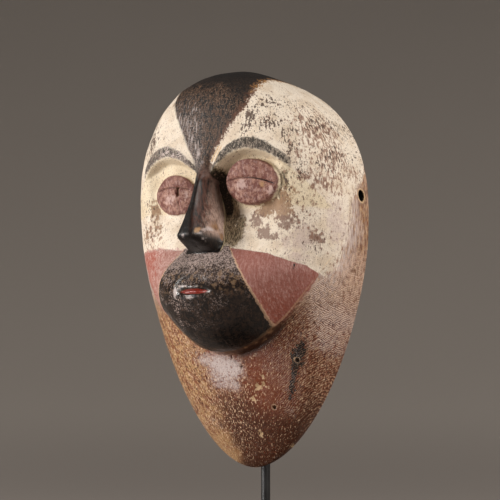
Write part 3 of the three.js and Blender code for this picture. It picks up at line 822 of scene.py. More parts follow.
class Coat:
    """A colour with others laid over it, each where its share is high."""

    def __init__(self, paint, value):
        self.paint = paint
        self.value = value

    def lay(self, colour, share):
        made = self.paint.node("ShaderNodeMix", data_type="RGBA", clamp_factor=True)
        self.paint.feed(made.inputs["Factor"], share)
        for socket, value in zip([s for s in made.inputs if s.type == "RGBA"], (self, colour)):
            self.paint.feed(socket, value)
        self.value = [s for s in made.outputs if s.type == "RGBA"][0]
        return self


class Paint:
    """A material and short names for the nodes that it is made of."""

    def __init__(self, name):
        self.material = bpy.data.materials.new(name)
        self.material.use_nodes = True
        self.tree = self.material.node_tree
        self.shader = self.tree.nodes["Principled BSDF"]

    def feed(self, socket, value):
        """Links a signal or a coat to a socket, or sets a plain value on it."""
        value = getattr(value, "value", value)
        if isinstance(value, bpy.types.NodeSocket):
            self.tree.links.new(value, socket)
        else:
            socket.default_value = value

    def node(self, kind, **settings):
        made = self.tree.nodes.new(kind)
        for name, value in settings.items():
            setattr(made, name, value)
        return made

    def math(self, operation, *values):
        made = self.node("ShaderNodeMath", operation=operation)
        for socket, value in zip(made.inputs, values):
            self.feed(socket, value)
        return Signal(self, made.outputs[0])

    def attr(self, name):
        return Signal(self, self.node("ShaderNodeAttribute", attribute_name=name).outputs["Fac"])

    def vector(self, name):
        return self.node("ShaderNodeAttribute", attribute_name=name).outputs["Vector"]

    def object_place(self):
        return self.node("ShaderNodeTexCoord").outputs["Object"]

    def parts(self, vector):
        """The three numbers of a vector."""
        made = self.node("ShaderNodeSeparateXYZ")
        self.feed(made.inputs[0], vector)
        return [Signal(self, output) for output in made.outputs]

    def noise(self, vector, size, detail, rough=0.55):
        made = self.node("ShaderNodeTexNoise")
        settings = {"Vector": vector, "Scale": 1 / size, "Detail": detail, "Roughness": rough}
        for name, value in settings.items():
            self.feed(made.inputs[name], value)
        return Signal(self, made.outputs["Fac"])

    def streaks(self, vector, scale, lean, detail, rough):
        """Noise stretched along the surface and leaned by an angle in degrees."""
        made = self.node("ShaderNodeMapping")
        self.feed(made.inputs["Vector"], vector)
        made.inputs["Scale"].default_value = scale
        made.inputs["Rotation"].default_value = (0, math.radians(lean), 0)
        return self.noise(made.outputs["Vector"], 1, detail, rough)

    def finish(self, colour, roughness, relief=None, distance=0.0, strength=1.0):
        self.feed(self.shader.inputs["Base Color"], colour)
        self.feed(self.shader.inputs["Roughness"], roughness)
        if relief:
            made = self.node("ShaderNodeBump")
            for name, value in {"Height": relief, "Distance": distance, "Strength": strength}.items():
                self.feed(made.inputs[name], value)
            self.feed(self.shader.inputs["Normal"], made.outputs["Normal"])
        return self.material


# Colours as they look in even light, and some that stand for painted shade and highlights
WHITE = linear(236, 222, 204)
WHITE_DULL = linear(222, 204, 182)
# Olive and dark grime, also used as painted shade beside the nose
OLIVE_GRIME_AND_SHADE = linear(150, 130, 98)
DEEP_GRIME_AND_SHADE = linear(60, 50, 34)
# Painted shadow beside the nose
NOSE_SHADOW_BLACK = linear(20, 15, 9)
CREAM = linear(224, 206, 168)
SPECK = linear(72, 52, 44)
BROWN_FILM = linear(154, 118, 98)
FILM_DARK = linear(112, 84, 72)
OCHRE_WEAR = linear(152, 118, 88)
PURPLE_WEAR = linear(136, 110, 98)
LILAC_FILM = linear(206, 186, 176)
BLACK = linear(30, 25, 23)
BLACK_WARM = linear(48, 37, 31)
BLACK_BROWN = linear(82, 59, 45)
BLACK_GREY = linear(122, 110, 104)
MUZZLE_GREY = linear(166, 147, 140)
MUZZLE_LIGHT = linear(214, 198, 192)
MUZZLE_TAN = linear(134, 108, 82)
WEDGE_BROWN = linear(62, 48, 39)
WEDGE_GRAIN = linear(122, 98, 80)
WEDGE_FRINGE = linear(104, 68, 52)
WEDGE_HIGHLIGHT = linear(142, 128, 122)
CROWN_OCHRE = linear(180, 132, 80)
BROW_DARK = linear(66, 57, 51)
BROW_HIGHLIGHT = linear(136, 112, 106)
BROW_WORN = linear(142, 130, 118)
NOSE_BLACK = linear(17, 14, 13)
NOSE_SIDE = linear(188, 160, 146)
BRIDGE_BARE = linear(128, 94, 84)
NOSE_BROWN = linear(84, 50, 38)
RED = linear(148, 97, 88)
RED_DARK = linear(134, 74, 60)
RED_ORANGE = linear(166, 78, 58)
RED_PINK = linear(184, 142, 132)
EYE_MAUVE = linear(170, 128, 112)
EYE_RED = linear(118, 72, 63)
EYE_PALE = linear(208, 178, 170)
EYE_DARK = linear(96, 52, 46)
EYE_LINE = linear(44, 18, 15)
AMBER_SPOT = linear(190, 148, 104)
LIP_RED = linear(138, 48, 36)
NECK = linear(142, 98, 72)
NECK_DARK = linear(66, 36, 22)
WALL_SHADE = linear(58, 34, 22)
NECK_RED = linear(118, 58, 34)
NECK_OCHRE = linear(180, 142, 100)
NECK_LIGHT = linear(212, 178, 146)
NECK_SHEEN = linear(206, 192, 188)
FLANK = linear(174, 142, 120)
FLANK_OCHRE = linear(184, 140, 94)
# Painted highlight, in streaks on the flank and in spots on the left brow
LILAC_HIGHLIGHT = linear(210, 194, 188)
FLANK_DARK = linear(122, 90, 70)
# Painted highlight on the right side
SIDE_HIGHLIGHT = linear(214, 184, 166)
RAW_WOOD = linear(140, 104, 74)
RAW_DARK = linear(90, 62, 42)
HOLE_DARK = linear(14, 9, 6)
CHIP_LIGHT = linear(208, 176, 136)
EDGE_TAN = linear(196, 160, 132)
JAW_CREAM = linear(240, 208, 164)

# Textures in even lumps: size in millimetres, detail and roughness. Each one varies about 0.5, so a limit
# from 0.5 to 0.6 covers about a third of the surface
LUMPY = {"middle": (11, 3, 0.55), "small": (3.2, 4, 0.62), "grains": (1.1, 2, 0.6)}

# Stretched textures: what they follow, lumps to the millimetre along each axis, lean, detail and roughness
STREAKED = {
    "streak": ("place", (0.5, 0.5, 0.09), 0, 4, 0.6),
    "scratch": ("place", (1.1, 1.1, 0.12), 6, 3, 0.6),
    "dash": ("place", (0.62, 0.62, 0.26), 0, 2, 0.6),
    "rubbed": ("place", (1.1, 0.4, 0.2), 36, 3, 0.55),
    "bare_grain": ("place", (0.35, 0.35, 0.05), 0, 4, 0.55),
    "fleck": ("flow", (0.62, 0.5, 0.26), 0, 3, 0.62),
    "scar": ("flow", (0.34, 0.3, 0.12), 8, 4, 0.62),
    "flake": ("flow", (0.85, 0.7, 0.45), 25, 2, 0.6),
    "stroke": ("flow", (0.72, 0.6, 0.26), 8, 3, 0.6),
}

# Mixed textures: how widely each part varies
MIXED = {"wobble": {"small": 2.4, "middle": 1.6}, "broken": {"small": 2.6, "dash": 1.6}}

# Fine strokes on the cheek: where they turn, how steep and how close they are, and how far two textures
# bend them
STROKES = {"turn": 68.0, "slope": 0.8, "close": 4.2, "middle": 22.0, "small": 12.0}

# Places that are known by name. A place is the product of its limits. A limit has what it measures, where it
# begins and where it is full, and may have the textures that make it uneven, each with its width, and its
# least and greatest share
PLACES = {
    "stroked": [("x", 20, 46, {"middle": 30}), ("tall", 24, 50, {"middle": 24}), ("tall", 146, 122)],
    "neck_low": [("tall", 62, 36, {"middle": 24}), ("flow_x", -12, -34, {"middle": 40, "small": 16}, 1, 0)],
    "neck_low_right": ["neck_low", ("x", 0, 12)],
    "neck_red": [("x", 6, 22), ("x", 56, 40), ("tall", 30, 50)],
    "flecked": [("tall", 78, 48, {"middle": 40}), ("tall", 16, 34), ("x", 26, 6)],
    "near_rim": [("deep", 34, 16), ("tall", 214, 228, {}, 0, 0.3)],
    "red_left": [("x", -40, -66, {"small": 70, "grains": 40})],
    "red_flank": [("flank", 14, 0, {}, 0, 0.3)],
    "loose": [("x", -10, -24), ("tall", 136, 148)],
    "wedge_right": [("x", 0, 10)],
    "fringe": [("wedge", 6, 0, {"small": 16}), ("x", 2, 10)],
    "ochre_fringe": ["fringe", ("tall", 270, 278, {"small": 16})],
    "white_cover": [("white", -0.45, 0.45, {"wobble": 1}),
                    ("flank", -2.5, 1.5, {"scratch": 26, "small": 10})],
    "nose_cover": [("nose", -0.4, 0.4, {"wobble": 1}), ("tall", 222, 204, {"small": 16})],
    "inside": [("under", 1.2, 2.4, {"wobble": 0.4})],
}

# Coats of paint. A coat begins with its ground, and each layer is laid over those before it. A ground or a
# layer is a colour or the name of another coat. A layer also has how strongly it covers, and the limits and
# places that it keeps to
COATS = {
    "neck": [
        NECK_RED,
        (NECK, 1, ("small", 0.4, 0.6)),
        (NECK_OCHRE, 1, ("flow_x", -12, -34, {"middle": 40, "small": 16}),
         ("scar", 0.42, 0.58, {}, 0.15, 1)),
        (NECK_DARK, 0.8, ("flake", 0.46, 0.36)),
        (NECK_OCHRE, 0.55, ("tall", 34, 10, {"middle": 30}), ("x", 2, -14)),
        (NECK_DARK, 0.86, "neck_low"),
        (NECK_RED, 0.75, "neck_red"),
        (NECK_LIGHT, 0.95, ("bright", 0.575, 0.625), ("grains", 0.38, 0.52)),
        (NECK_LIGHT, 0.55, "stroked", ("hatch", 0.55, 0.9), ("flake", 0.4, 0.56)),
        (NECK_DARK, 0.45, "stroked", ("hatch", 0.42, 0.1)),
        # Painted reflection on the varnish, between the strokes
        (NECK_SHEEN, 0.85, "between_strokes",
         ("sheen", 0.1, 1.25, {"small": 1.1, "middle": 0.9, "grains": 0.9})),
        (NECK_RED, 0.7, ("grains", 0.42, 0.35)),
        # Painted shadow under the jaw's edge, on the right
        (NECK_DARK, 0.8, ("jaw", -5.5, -1, {"small": 2}), ("x", 2, 14), ("x", 50, 34)),
        # Painted shade along the lower tip, where it turns under
        (NECK_DARK, 0.75, ("tall", 8, 2, {"small": 12}), ("x", -16, -4)),
    ],
    "flank": [
        FLANK_DARK,
        (FLANK, 1, ("streak", 0.4, 0.62)),
        (FLANK_OCHRE, 0.45, ("small", 0.5, 0.62)),
        (NECK_LIGHT, 0.5, ("fleck", 0.54, 0.64)),
        (NECK_RED, 0.6, ("fleck", 0.46, 0.36)),
        # Painted highlights in streaks along the flank, near the border of the white
        (LILAC_HIGHLIGHT, 0.8, ("flank", -24, -2), ("tall", 112, 146), ("tall", 218, 190),
         ("scratch", 0.36, 0.56)),
    ],
    "white": [
        WHITE,
        (WHITE_DULL, 1, ("middle", 0.42, 0.66)),
        (CREAM, 0.5, ("crescent", -1, 1, {"wobble": 1})),
        # Grime, and painted shade in the hollows beside the nose
        (OLIVE_GRIME_AND_SHADE, 0.85, ("grime_and_shade", 0.3, 0.75, {"small": 1.4})),
        (DEEP_GRIME_AND_SHADE, 0.8, ("grime_and_shade", 0.3, 0.75, {"small": 1.4}), ("scratch", 0.54, 0.46)),
        # Near-black painted shadow of the nose on the right eye socket
        (NOSE_SHADOW_BLACK, 0.96, ("nose_shadow", 0.3, 0.6, {"small": 0.8})),
        (LILAC_FILM, 0.8, ("lilac", 0.3, 0.8, {"broken": 0.6})),
        (OCHRE_WEAR, 0.9, ("ochre", 0.26, 0.7, {"broken": 0.8})),
        (PURPLE_WEAR, 0.85, ("purple", 0.3, 0.7, {"broken": 0.9})),
        (BROWN_FILM, 0.8, ("film", 0.2, 0.34)),
        (FILM_DARK, 0.8, ("film", 0.38, 0.46)),
        (SPECK, 0.9, ("specks", 0.22, 0.28)),
        (FILM_DARK, 0.7, ("dark_grains", 0.62, 0.67)),
        (OCHRE_WEAR, 0.3, ("grains", 0.4, 0.34)),
    ],
    "red": [
        RED,
        (RED_DARK, 1, ("tall", 142, 104, {"middle": 34})),
        (RED_PINK, 1, ("x", 10, -30), ("small", 0.36, 0.6, {}, 0.4, 0.9)),
        (RED_ORANGE, 0.75, "red_end"),
        (EYE_PALE, 1, ("grains", 0.52, 0.64, {"small": 0.8}), ("x", -4, -24, {}, 0.1, 0.7)),
        (RED_PINK, 0.5, ("rubbed", 0.5, 0.66)),
        (RED_DARK, 0.6, ("rubbed", 0.46, 0.34)),
        (RED_DARK, 0.6, ("grains", 0.42, 0.34)),
    ],
    "wedge": [
        BLACK_WARM,
        (WEDGE_BROWN, 1, ("small", 0.42, 0.58)),
        (BLACK_BROWN, 0.8, ("dash", 0.51, 0.58)),
        (NOSE_BLACK, 0.95, ("dash", 0.5, 0.44)),
        (WEDGE_GRAIN, 0.75, ("grains", 0.54, 0.62)),
        (BLACK, 0.8, ("tall_right", 272, 288, {"middle": 30})),
        # Painted highlights on the lower left of the wedge, in patches and in streaks
        (WEDGE_HIGHLIGHT, 0.7, ("x", 6, -12, {"small": 24}), ("tall", 264, 244),
         ("grains", 0.4, 0.6, {"small": 0.4})),
        (NECK_SHEEN, 0.7, ("x", 4, -10), ("tall", 276, 250), ("scratch", 0.56, 0.64)),
        (WEDGE_FRINGE, 0.7, "fringe"),
        (CROWN_OCHRE, 1, "ochre_fringe", ("dash", 0.46, 0.52)),
        (BLACK, 1, "past_ochre", ("tall", 272, 292, {"middle": 40})),
    ],
    "brow": [
        BLACK,
        (BROW_DARK, 1, ("dash", 0.4, 0.56)),
        (BROW_WORN, 0.8, ("dash", 0.52, 0.58)),
        (WHITE_DULL, 0.6, ("grains", 0.58, 0.66)),
        # Painted mauve highlights on the left brow
        (BROW_HIGHLIGHT, 0.35, ("x", 0, -20), ("small", 0.4, 0.6)),
        (LILAC_HIGHLIGHT, 0.8, ("x", -10, -22), ("x", -44, -34), ("grains", 0.5, 0.6, {"small": 0.8})),
    ],
    "muzzle": [
        BLACK,
        (BLACK_WARM, 1, ("small", 0.44, 0.6)),
        # Lighter grey towards the top of the muzzle: worn paint, with a painted sheen
        (MUZZLE_GREY, 0.85, ("tall", 128, 152, {"middle": 26}), ("grains", 0.3, 0.52, {"small": 0.5})),
        (BLACK_WARM, 0.55, ("tall", 120, 136), ("grains", 0.5, 0.4)),
        (MUZZLE_LIGHT, 0.4, ("tall", 130, 142), ("grains", 0.54, 0.62, {"small": 0.5})),
        (MUZZLE_TAN, 0.6, ("tall", 118, 130), ("tall", 146, 134), ("small", 0.52, 0.6)),
        (MUZZLE_GREY, 1, ("tall_left", 88, 108), ("x", 0, -16, {}, 0.4, 0.9), ("grains", 0.52, 0.62),
         ("middle", 0.42, 0.56)),
        (BLACK_BROWN, 0.4, ("tall", 92, 108), ("dash", 0.56, 0.64)),
    ],
    "nose": [
        NOSE_BLACK,
        (BLACK_WARM, 1, ("scratch", 0.5, 0.66)),
        (NOSE_BROWN, 0.85, ("nose_across", 0.1, 0.5), ("tall", 160, 176), ("streak", 0.38, 0.56)),
        # Lighter mauve on the nose's right side: worn paint, with a painted highlight on its lower wing
        (NOSE_SIDE, 0.95, ("nose_across", 0.58, 0.86, {"small": 0.4}), ("tall", 206, 180, {}, 0.4, 1),
         ("tall", 160, 168), ("scratch", 0.34, 0.54, {}, 0.45, 1)),
        (BRIDGE_BARE, 1, ("tall", 204, 212), ("nose_across", -0.2, 0.1), ("small", 0.4, 0.52, {}, 0.2, 0.8)),
        (BLACK_GREY, 0.85, ("tall", 198, 212), ("nose_across", 0, -0.4), ("small", 0.36, 0.56)),
    ],
    "eye": [
        EYE_RED,
        (EYE_MAUVE, 1, ("small", 0.4, 0.6)),
        (EYE_RED, 0.3, ("lid", -2, 3, {"wobble": 1.5})),
        (EYE_PALE, 0.3, ("dash", 0.52, 0.62)),
        (EYE_DARK, 0.5, ("grains", 0.46, 0.36)),
        (EYE_DARK, 0.4, ("eye", 3.5, 0.5, {"small": 8})),
        # Painted highlights on the eye discs
        (EYE_PALE, 0.65, ("pale", 0.35, 1, {"broken": 0.8})),
    ],
    "lip": [LIP_RED, (BLACK, 1, ("grains", 0.42, 0.36))],
    "bare": [RAW_DARK, (RAW_WOOD, 1, ("bare_grain", 0.4, 0.62))],
    "mask": [
        "neck",
        ("flank", 1, ("tall", 102, 132, {"middle": 24})),
        # Painted sheen on the right side of the lower mask, broken by the strokes
        (SIDE_HIGHLIGHT, 1, ("x", 50, 68, {"middle": 24}), ("tall", 78, 102), ("tall", 168, 148),
         ("hatch", 0.25, 0.8, {}, 0.2, 0.75), ("small", 0.36, 0.56)),
        (BLACK, 1, ("patch", -0.4, 0.5, {"small": 9, "flake": 9}),
         ("worn_strokes", 0.3, 0.8, {}, 0.97, 0.5)),
        (CHIP_LIGHT, 0.8, ("chip", 0, 0.9, {"small": 8})),
        (CHIP_LIGHT, 0.7, ("cord", -1.8, -0.9, {"small": 1.5})),
        ("white", 1, "white_cover"),
        ("red", 1, ("loose_red", -0.35, 0.35, {"wobble": 1})),
        ("wedge", 1, ("loose_wedge", -1.6, 1.2, {"wobble": 1})),
        ("brow", 0.94, ("brow", -0.9, 0.9, {"wobble": 1.9})),
        ("muzzle", 1, ("muzzle", -0.12, 0.12, {"wobble": 0.2})),
        ("nose", 1, "nose_cover"),
        (EDGE_TAN, 0.8, "cheek_edge", ("jaw", 0, 1), ("tall", 158, 156)),
        (CREAM, 0.85, "nose_foot", ("tall", 152, 156), ("tall", 198, 186)),
        (WALL_SHADE, 0.85, ("jaw", -3, -1), ("jaw", 0.5, 0.3), ("x", 0, 14), ("x", 60, 44)),
        (JAW_CREAM, 0.9, "jaw_line", ("flank", 2, 12), ("x", -4, 12, {}, 0.3, 1)),
        ("eye", 1, ("eye", -0.4, 0.4, {"wobble": 0.5})),
        (EYE_LINE, 1, "eye_slit", ("x", 26, 44, {}, 0.45, 1)),
        # Painted highlights on the nose, its bridge and the lips
        (NECK_SHEEN, 0.7, ("glint", 0.25, 1, {"small": 1.6})),
        (AMBER_SPOT, 0.75, ("amber", 0.3, 1, {"grains": 1.2})),
        (HOLE_DARK, 1, ("crack", 0.1, 0.4)),
        (CHIP_LIGHT, 0.8, ("scratches", -0.4, 0)),
        (EYE_LINE, 0.9, ("furrow", 0.9, 1.8)),
        ("lip", 1, ("mouth", -0.2, 0.5, {"wobble": 0.2})),
        (NECK_LIGHT, 1, "nail_ring", ("tall", 90, 86), ("x", 16, 20), ("small", 0.4, 0.56, {}, 0.2, 0.8)),
        (HOLE_DARK, 1, ("hole", -0.3, 0.1)),
        ("bare", 1, "inside"),
        # Painted shade inside the cord holes
        (HOLE_DARK, 1, ("bore", 0.3, 1)),
    ],
}

# How strongly the varnish throws back light, and the depth in metres and strength of the fine relief
SPECULAR = 0.34
FINE_RELIEF = (0.8 * MM, 0.8)


class MaskPaint(Paint):
    """The mask's paint. What a limit measures is known by name: the ways along the mask, of which two are
    its height with one side raised, the textures, some mixes of them, and the mesh's own fields."""

    def __init__(self):
        super().__init__("carved and painted wood")
        follow = {"place": self.vector("place"), "flow": self.vector("flow")}
        x, deep, tall = self.parts(follow["place"])
        self.known = {"x": x, "deep": deep, "tall": tall, "flow_x": self.parts(follow["flow"])[0],
                      "tall_left": tall + x * -0.5, "tall_right": tall + x * 0.5}
        for name, look in LUMPY.items():
            self.known[name] = self.noise(follow["place"], *look)
        for name, (along, *look) in STREAKED.items():
            self.known[name] = self.streaks(follow[along], *look)
        for name, parts in MIXED.items():
            self.known[name] = self.uneven(**parts) + 0.5
        self.known["hatch"] = self.hatch(x, tall)
        for name, limits in PLACES.items():
            self.known[name] = self.share(limits)
        self.mix()

    def uneven(self, **widths):
        """Textures that vary about zero, each over its own width, added up."""
        return reduce(add, [self.known[name].about(width) for name, width in widths.items()])

    def limit(self, measure, begins, full, textures=None, least_share=0.0, most_share=1.0):
        value = self.known.get(measure) or self.attr(measure)
        if textures:
            value += self.uneven(**textures)
        return value.ramp(begins, full, least_share, most_share)

    def share(self, limits):
        """The product of some limits. Those that are given by name are known places."""
        return reduce(mul, [self.known[limit] if isinstance(limit, str) else self.limit(*limit)
                            for limit in limits])

    def coat(self, name):
        ground, *layers = COATS[name]
        made = self.coat(ground) if isinstance(ground, str) else Coat(self, ground)
        for colour, strength, *limits in layers:
            over = self.coat(colour) if isinstance(colour, str) else colour
            made.lay(over, self.share(limits) * strength)
        return made

    def hatch(self, x, tall):
        """Rows of fine short strokes that slope down both ways from an upright line on the cheek."""
        rise = tall + self.math("ABSOLUTE", x - STROKES["turn"]) * STROKES["slope"]
        bend = self.known["middle"] * STROKES["middle"] + self.known["small"] * STROKES["small"]
        return self.math("SINE", rise * STROKES["close"] + bend) * 0.5 + 0.5

    def mix(self):
        """Measures and places that are made of several others."""
        known, attr, uneven = self.known, self.attr, self.uneven
        dashes = attr("dashes")
        shaded = self.math("MAXIMUM", known["neck_red"], known["neck_low_right"])
        ridge = attr("ridge") + uneven(small=2.4, grains=1.6)
        line = attr("jaw") + uneven(grains=0.4) - JAW_LINE["above"]
        known.update({
            "between_strokes": 1.0 - known["stroked"] * known["hatch"].ramp(0.7, 0.3, 0.0, 0.7),
            "worn_strokes": known["hatch"] * known["grains"].ramp(0.4, 0.6),
            "bright": known["flake"] + known["flecked"] * 0.03 - shaded * 0.035,
            "film": attr("drip") * 0.26 + uneven(stroke=1.3, small=0.7) - known["near_rim"],
            "specks": dashes * 0.23 + uneven(dash=0.95, grains=0.5),
            "dark_grains": dashes * 0.03 + known["grains"],
            "red_end": self.math("MAXIMUM", known["red_left"], known["red_flank"]),
            "past_ochre": 0.85 - known["ochre_fringe"] * 0.6,
            "loose_red": attr("red") + uneven(grains=12, small=10) * known["loose"],
            "loose_wedge": attr("wedge") + uneven(small=6, dash=7, grains=9) * known["wedge_right"],
            "cheek_edge": ridge.near(self.limit("tall", 152, 112, {}, 0.25, 0.6), 0.4),
            "nose_foot": (attr("foot") + uneven(small=1)).near(0.3, 0.4),
            "jaw_line": line.near(JAW_LINE["half"], JAW_LINE["soft"]),
            "eye_slit": attr("lid").near(0.25, 0.5) * attr("slit"),
            "nail_ring": (attr("hole") + 0.8).near(0.2, 0.3),
        })

    def build(self):
        known = self.known
        black = self.math("MAXIMUM", self.limit("muzzle", -0.5, 1), known["nose_cover"])
        gloss = black * self.limit("tall", 124, 150, {}, 0.34, 0.18)
        rough = self.limit("jaw", -1, 1, {}, 0.34, 0.5) - gloss
        rough += known["white_cover"] * 0.12 + known["inside"] * 0.25 + self.uneven(small=0.24)
        relief = known["small"] * 0.6 + known["grains"] * 0.4 + known["scratch"] * 0.4 + known["fleck"] * 0.7
        relief *= 1.0 - black * 0.6
        relief += known["hatch"] * known["stroked"] * self.limit("jaw", 0, -2) * 0.5
        self.shader.inputs["Specular IOR Level"].default_value = SPECULAR
        return self.finish(self.coat("mask"), rough, relief, *FINE_RELIEF)


STEEL_DARK = linear(20, 20, 21)
STEEL_LIGHT = linear(34, 34, 35)


def steel_material():
    p = Paint("black painted steel")
    where = p.object_place()
    coarse = p.noise(where, 20 * MM, 3)
    fine = p.noise(where, 1.2 * MM, 3)
    colour = Coat(p, STEEL_DARK).lay(STEEL_LIGHT, coarse.ramp(0.35, 0.65))
    p.shader.inputs["Metallic"].default_value = 0.0
    return p.finish(colour, coarse * 0.2 + 0.3, fine, 0.2 * MM, 0.5)


def build_mask():
    piece = new_object("mask_carving", mask_mesh())
    cut_cord_holes(piece)
    shade(piece.data, SHARP_WOOD)
    paint_fields(piece.data)
    piece.data.materials.clear()
    piece.data.materials.append(MaskPaint().build())
    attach(piece, "root")
    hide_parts("mask")


# Rod and foot: the bend, the peg and the socket repeat the solids' own sizes
ROD = {"bend": 10 * MM, "sides": 40, "steps": 18, "edge": 0.5 * MM}
PEG = {"radius": 2.5 * MM, "height": 12.0, "gap": 0.3 * MM, "sides": 28, "edge": 0.3 * MM}
FOOT = {"corner": 4 * MM, "corner_steps": 8, "edge": 0.9 * MM, "edge_steps": 4}
SOCKET_HOLE = {"length": 12 * MM, "sides": 48}


def sweep(body, path, radius, sides):
    """Round bar along a path in the plane x = 0, with slightly rounded ends."""
    rings = []
    for i, point in enumerate(path):
        before = path[max(i - 1, 0)]
        after = path[min(i + 1, len(path) - 1)]
        along = (after - before).normalized()
        across = Vector((1, 0, 0))
        up = along.cross(across)
        ring = []
        for k in range(sides):
            angle = 2 * math.pi * k / sides
            outwards = math.cos(angle) * across + math.sin(angle) * up
            ring.append(body.verts.new(point + radius[i] * outwards))
        rings.append(ring)
    for ring, following in zip(rings, rings[1:]):
        for k in range(sides):
            beside = (k + 1) % sides
            body.faces.new((ring[k], ring[beside], following[beside], following[k]))
    body.faces.new(rings[0])
    body.faces.new(rings[-1])


def rounded_ends(path, radius, edge):
    """The path with an extra ring near each end, and the radius at each ring."""
    first = path[0] + (path[1] - path[0]).normalized() * edge
    last = path[-1] + (path[-2] - path[-1]).normalized() * edge
    points = [path[0], first, *path[1:-1], last, path[-1]]
    return points, [radius - edge] + [radius] * (len(points) - 2) + [radius - edge]


def build_rod(material):
    low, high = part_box("stand_rod")
    radius = high.x
    back = high.y - radius
    top = high.z - radius
    body = bmesh.new()
    path = [Vector((0, back, low.z)), Vector((0, back, (low.z + top) / 2))]
    start = Vector((0, back, top - ROD["bend"]))
    corner = Vector((0, back, top))
    end = Vector((0, back - ROD["bend"], top))
    for i in range(ROD["steps"] + 1):
        t = i / ROD["steps"]
        path.append(start * (1 - t) ** 2 + corner * (2 * t * (1 - t)) + end * t ** 2)
    path.append(Vector((0, low.y, top)))
    sweep(body, *rounded_ends(path, radius, ROD["edge"]), ROD["sides"])
    down = PEG["height"] - MASK_HEIGHT / 2
    rim = (MASK_Y + down * math.sin(LEAN)) * MM + PEG["radius"] * math.tan(LEAN) + PEG["gap"]
    level = (MASK_Z + down * math.cos(LEAN)) * MM
    peg = [Vector((0, back, level)), Vector((0, rim, level))]
    sweep(body, *rounded_ends(peg, PEG["radius"], PEG["edge"]), PEG["sides"])
    bmesh.ops.recalc_face_normals(body, faces=body.faces)
    piece = new_object("rod_bar", write_out(body, bpy.data.meshes.new("rod_bar")))
    shade(piece.data, SHARP_STEEL)
    piece.data.materials.append(material)
    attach(piece, "root")
    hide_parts("stand_rod")


def build_foot(material):
    low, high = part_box("stand_base")
    body = bmesh.new()
    made = bmesh.ops.create_cube(body, size=1)
    for vertex in made["verts"]:
        vertex.co = Vector([(low[k] + high[k]) / 2 + vertex.co[k] * (high[k] - low[k]) for k in range(3)])
    upright = [e for e in body.edges if abs(e.verts[0].co.z - e.verts[1].co.z) > (high.z - low.z) / 2]
    bmesh.ops.bevel(body, geom=upright, offset=FOOT["corner"], segments=FOOT["corner_steps"], profile=0.5,
                    affect="EDGES")
    flat = [e for e in body.edges if e.calc_face_angle(0) > math.radians(SHARP_FOOT)]
    bmesh.ops.bevel(body, geom=flat, offset=FOOT["edge"], segments=FOOT["edge_steps"], profile=0.5,
                    affect="EDGES")
    piece = new_object("foot_plate", write_out(body, bpy.data.meshes.new("foot_plate")))
    piece.data.materials.append(material)
    rod_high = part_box("stand_rod")[1]
    place = Matrix.Translation((0, rod_high.y - rod_high.x, high.z))
    cut_round(piece, "socket", rod_high.x + PEG["gap"], SOCKET_HOLE["length"], SOCKET_HOLE["sides"], place)
    shade(piece.data, SHARP_STEEL)
    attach(piece, "root")
    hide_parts("stand_base")


# Round stage: a pale floor that rises smoothly into a backdrop, in metres
STAGE = {"flat": 0.3, "edge": 2.9, "rise": 1.9, "power": 3.0, "sides": 96, "rings": 60}
FLOOR = linear(168, 159, 151)
FLOOR_LIGHT = linear(174, 165, 157)
FLOOR_LOW = linear(150, 141, 134)
FLOOR_LOOK = {"clouds": 0.8, "low_from": 0.12, "rough": 0.9}


def build_stage():
    sides, rings = STAGE["sides"], STAGE["rings"]
    points = [(0.0, 0.0, 0.0)]
    for ring in range(rings + 1):
        share = ring / rings
        radius = STAGE["flat"] + (STAGE["edge"] - STAGE["flat"]) * share
        height = STAGE["rise"] * share ** STAGE["power"]
        for k in range(sides):
            angle = 2 * math.pi * k / sides
            points.append((radius * math.cos(angle), radius * math.sin(angle), height))
    faces = [(0, 1 + k, 1 + (k + 1) % sides) for k in range(sides)]
    for ring in range(rings):
        for k in range(sides):
            a = 1 + ring * sides + k
            b = 1 + ring * sides + (k + 1) % sides
            faces.append((a, a + sides, b + sides, b))
    mesh = bpy.data.meshes.new("studio_floor")
    mesh.from_pydata(points, [], faces)
    for face in mesh.polygons:
        face.use_smooth = True
    p = Paint("pale floor")
    where = p.object_place()
    height = p.parts(where)[2]
    colour = Coat(p, FLOOR).lay(FLOOR_LIGHT, p.noise(where, FLOOR_LOOK["clouds"], 2))
    colour.lay(FLOOR_LOW, height.ramp(FLOOR_LOOK["low_from"], 0.0))
    mesh.materials.append(p.finish(colour, FLOOR_LOOK["rough"]))
    new_object("studio_floor", mesh)


# Camera at the photograph's angle, in millimetres from the middle of the mask. Angles of the camera and the
# lights are counted from straight ahead of the face towards its right-hand side, and up from the horizon
CAMERA = {"azimuth": 32.0, "elevation": -5.5, "distance": 1240.0, "left": 9.66, "up": 17.2,
          "lens": 115.2, "sensor": 36.0, "sees_to": 20.0}

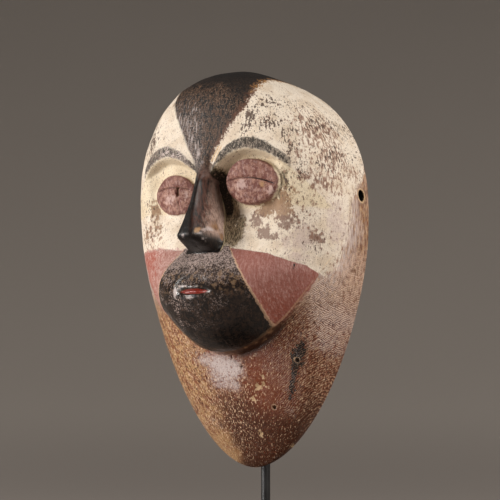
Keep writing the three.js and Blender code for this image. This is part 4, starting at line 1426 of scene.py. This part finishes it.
# Lights, with distances and sizes in metres
LIGHTS = {
    "key": {"azimuth": -40, "elevation": 12, "distance": 1.35, "size": (0.16, 0.7), "power": 17.5,
            "colour": (1, 0.97, 0.93)},
    "side": {"azimuth": 84, "elevation": 30, "distance": 1.4, "size": (0.6, 0.6), "power": 17,
             "colour": (1, 0.965, 0.92)},
    "near_camera": {"azimuth": 26, "elevation": -4, "distance": 1.5, "size": (0.08, 0.1), "power": 0.8,
                    "colour": (0.93, 0.96, 1)},
    "low": {"azimuth": -34, "elevation": -20, "distance": 0.48, "size": (0.14, 0.1), "power": 0.3,
            "colour": (0.95, 0.96, 1)},
}
ROOM_LIGHT = {"colour": (1, 0.975, 0.95, 1), "strength": 0.08}


def direction(place):
    """Direction from the mask towards a camera or a light."""
    turn = math.radians(place["azimuth"])
    rise = math.radians(place["elevation"])
    return Vector((math.sin(turn) * math.cos(rise), -math.cos(turn) * math.cos(rise), math.sin(rise)))


def face_along(thing, forward):
    thing.rotation_euler = forward.to_track_quat("-Z", "Y").to_euler()


def build_camera():
    forward = -direction(CAMERA)
    right = forward.cross(Vector((0, 0, 1))).normalized()
    up = right.cross(forward)
    data = bpy.data.cameras.new("camera")
    data.lens = CAMERA["lens"]
    data.sensor_width = CAMERA["sensor"]
    data.clip_end = CAMERA["sees_to"]
    camera = new_object("camera", data)
    aside = CAMERA["up"] * up - CAMERA["left"] * right
    camera.location = (Vector((0, MASK_Y, MASK_Z)) + aside - CAMERA["distance"] * forward) * MM
    face_along(camera, forward)
    bpy.context.scene.camera = camera


def build_lights():
    for name, made in LIGHTS.items():
        data = bpy.data.lights.new(name, "AREA")
        data.shape = "RECTANGLE"
        data.size, data.size_y = made["size"]
        data.energy = made["power"]
        data.color = made["colour"]
        light = new_object(name, data)
        light.location = Vector((0, MASK_Y, MASK_Z)) * MM + direction(made) * made["distance"]
        face_along(light, -direction(made))
        light.visible_camera = False
    world = bpy.data.worlds.new("soft room light")
    world.use_nodes = True
    sky = world.node_tree.nodes["Background"]
    sky.inputs["Color"].default_value = ROOM_LIGHT["colour"]
    sky.inputs["Strength"].default_value = ROOM_LIGHT["strength"]
    bpy.context.scene.world = world


bpy.context.scene.view_settings.view_transform = "Standard"
build_camera()
build_lights()
build_stage()
build_mask()
steel = steel_material()
build_rod(steel)
build_foot(steel)
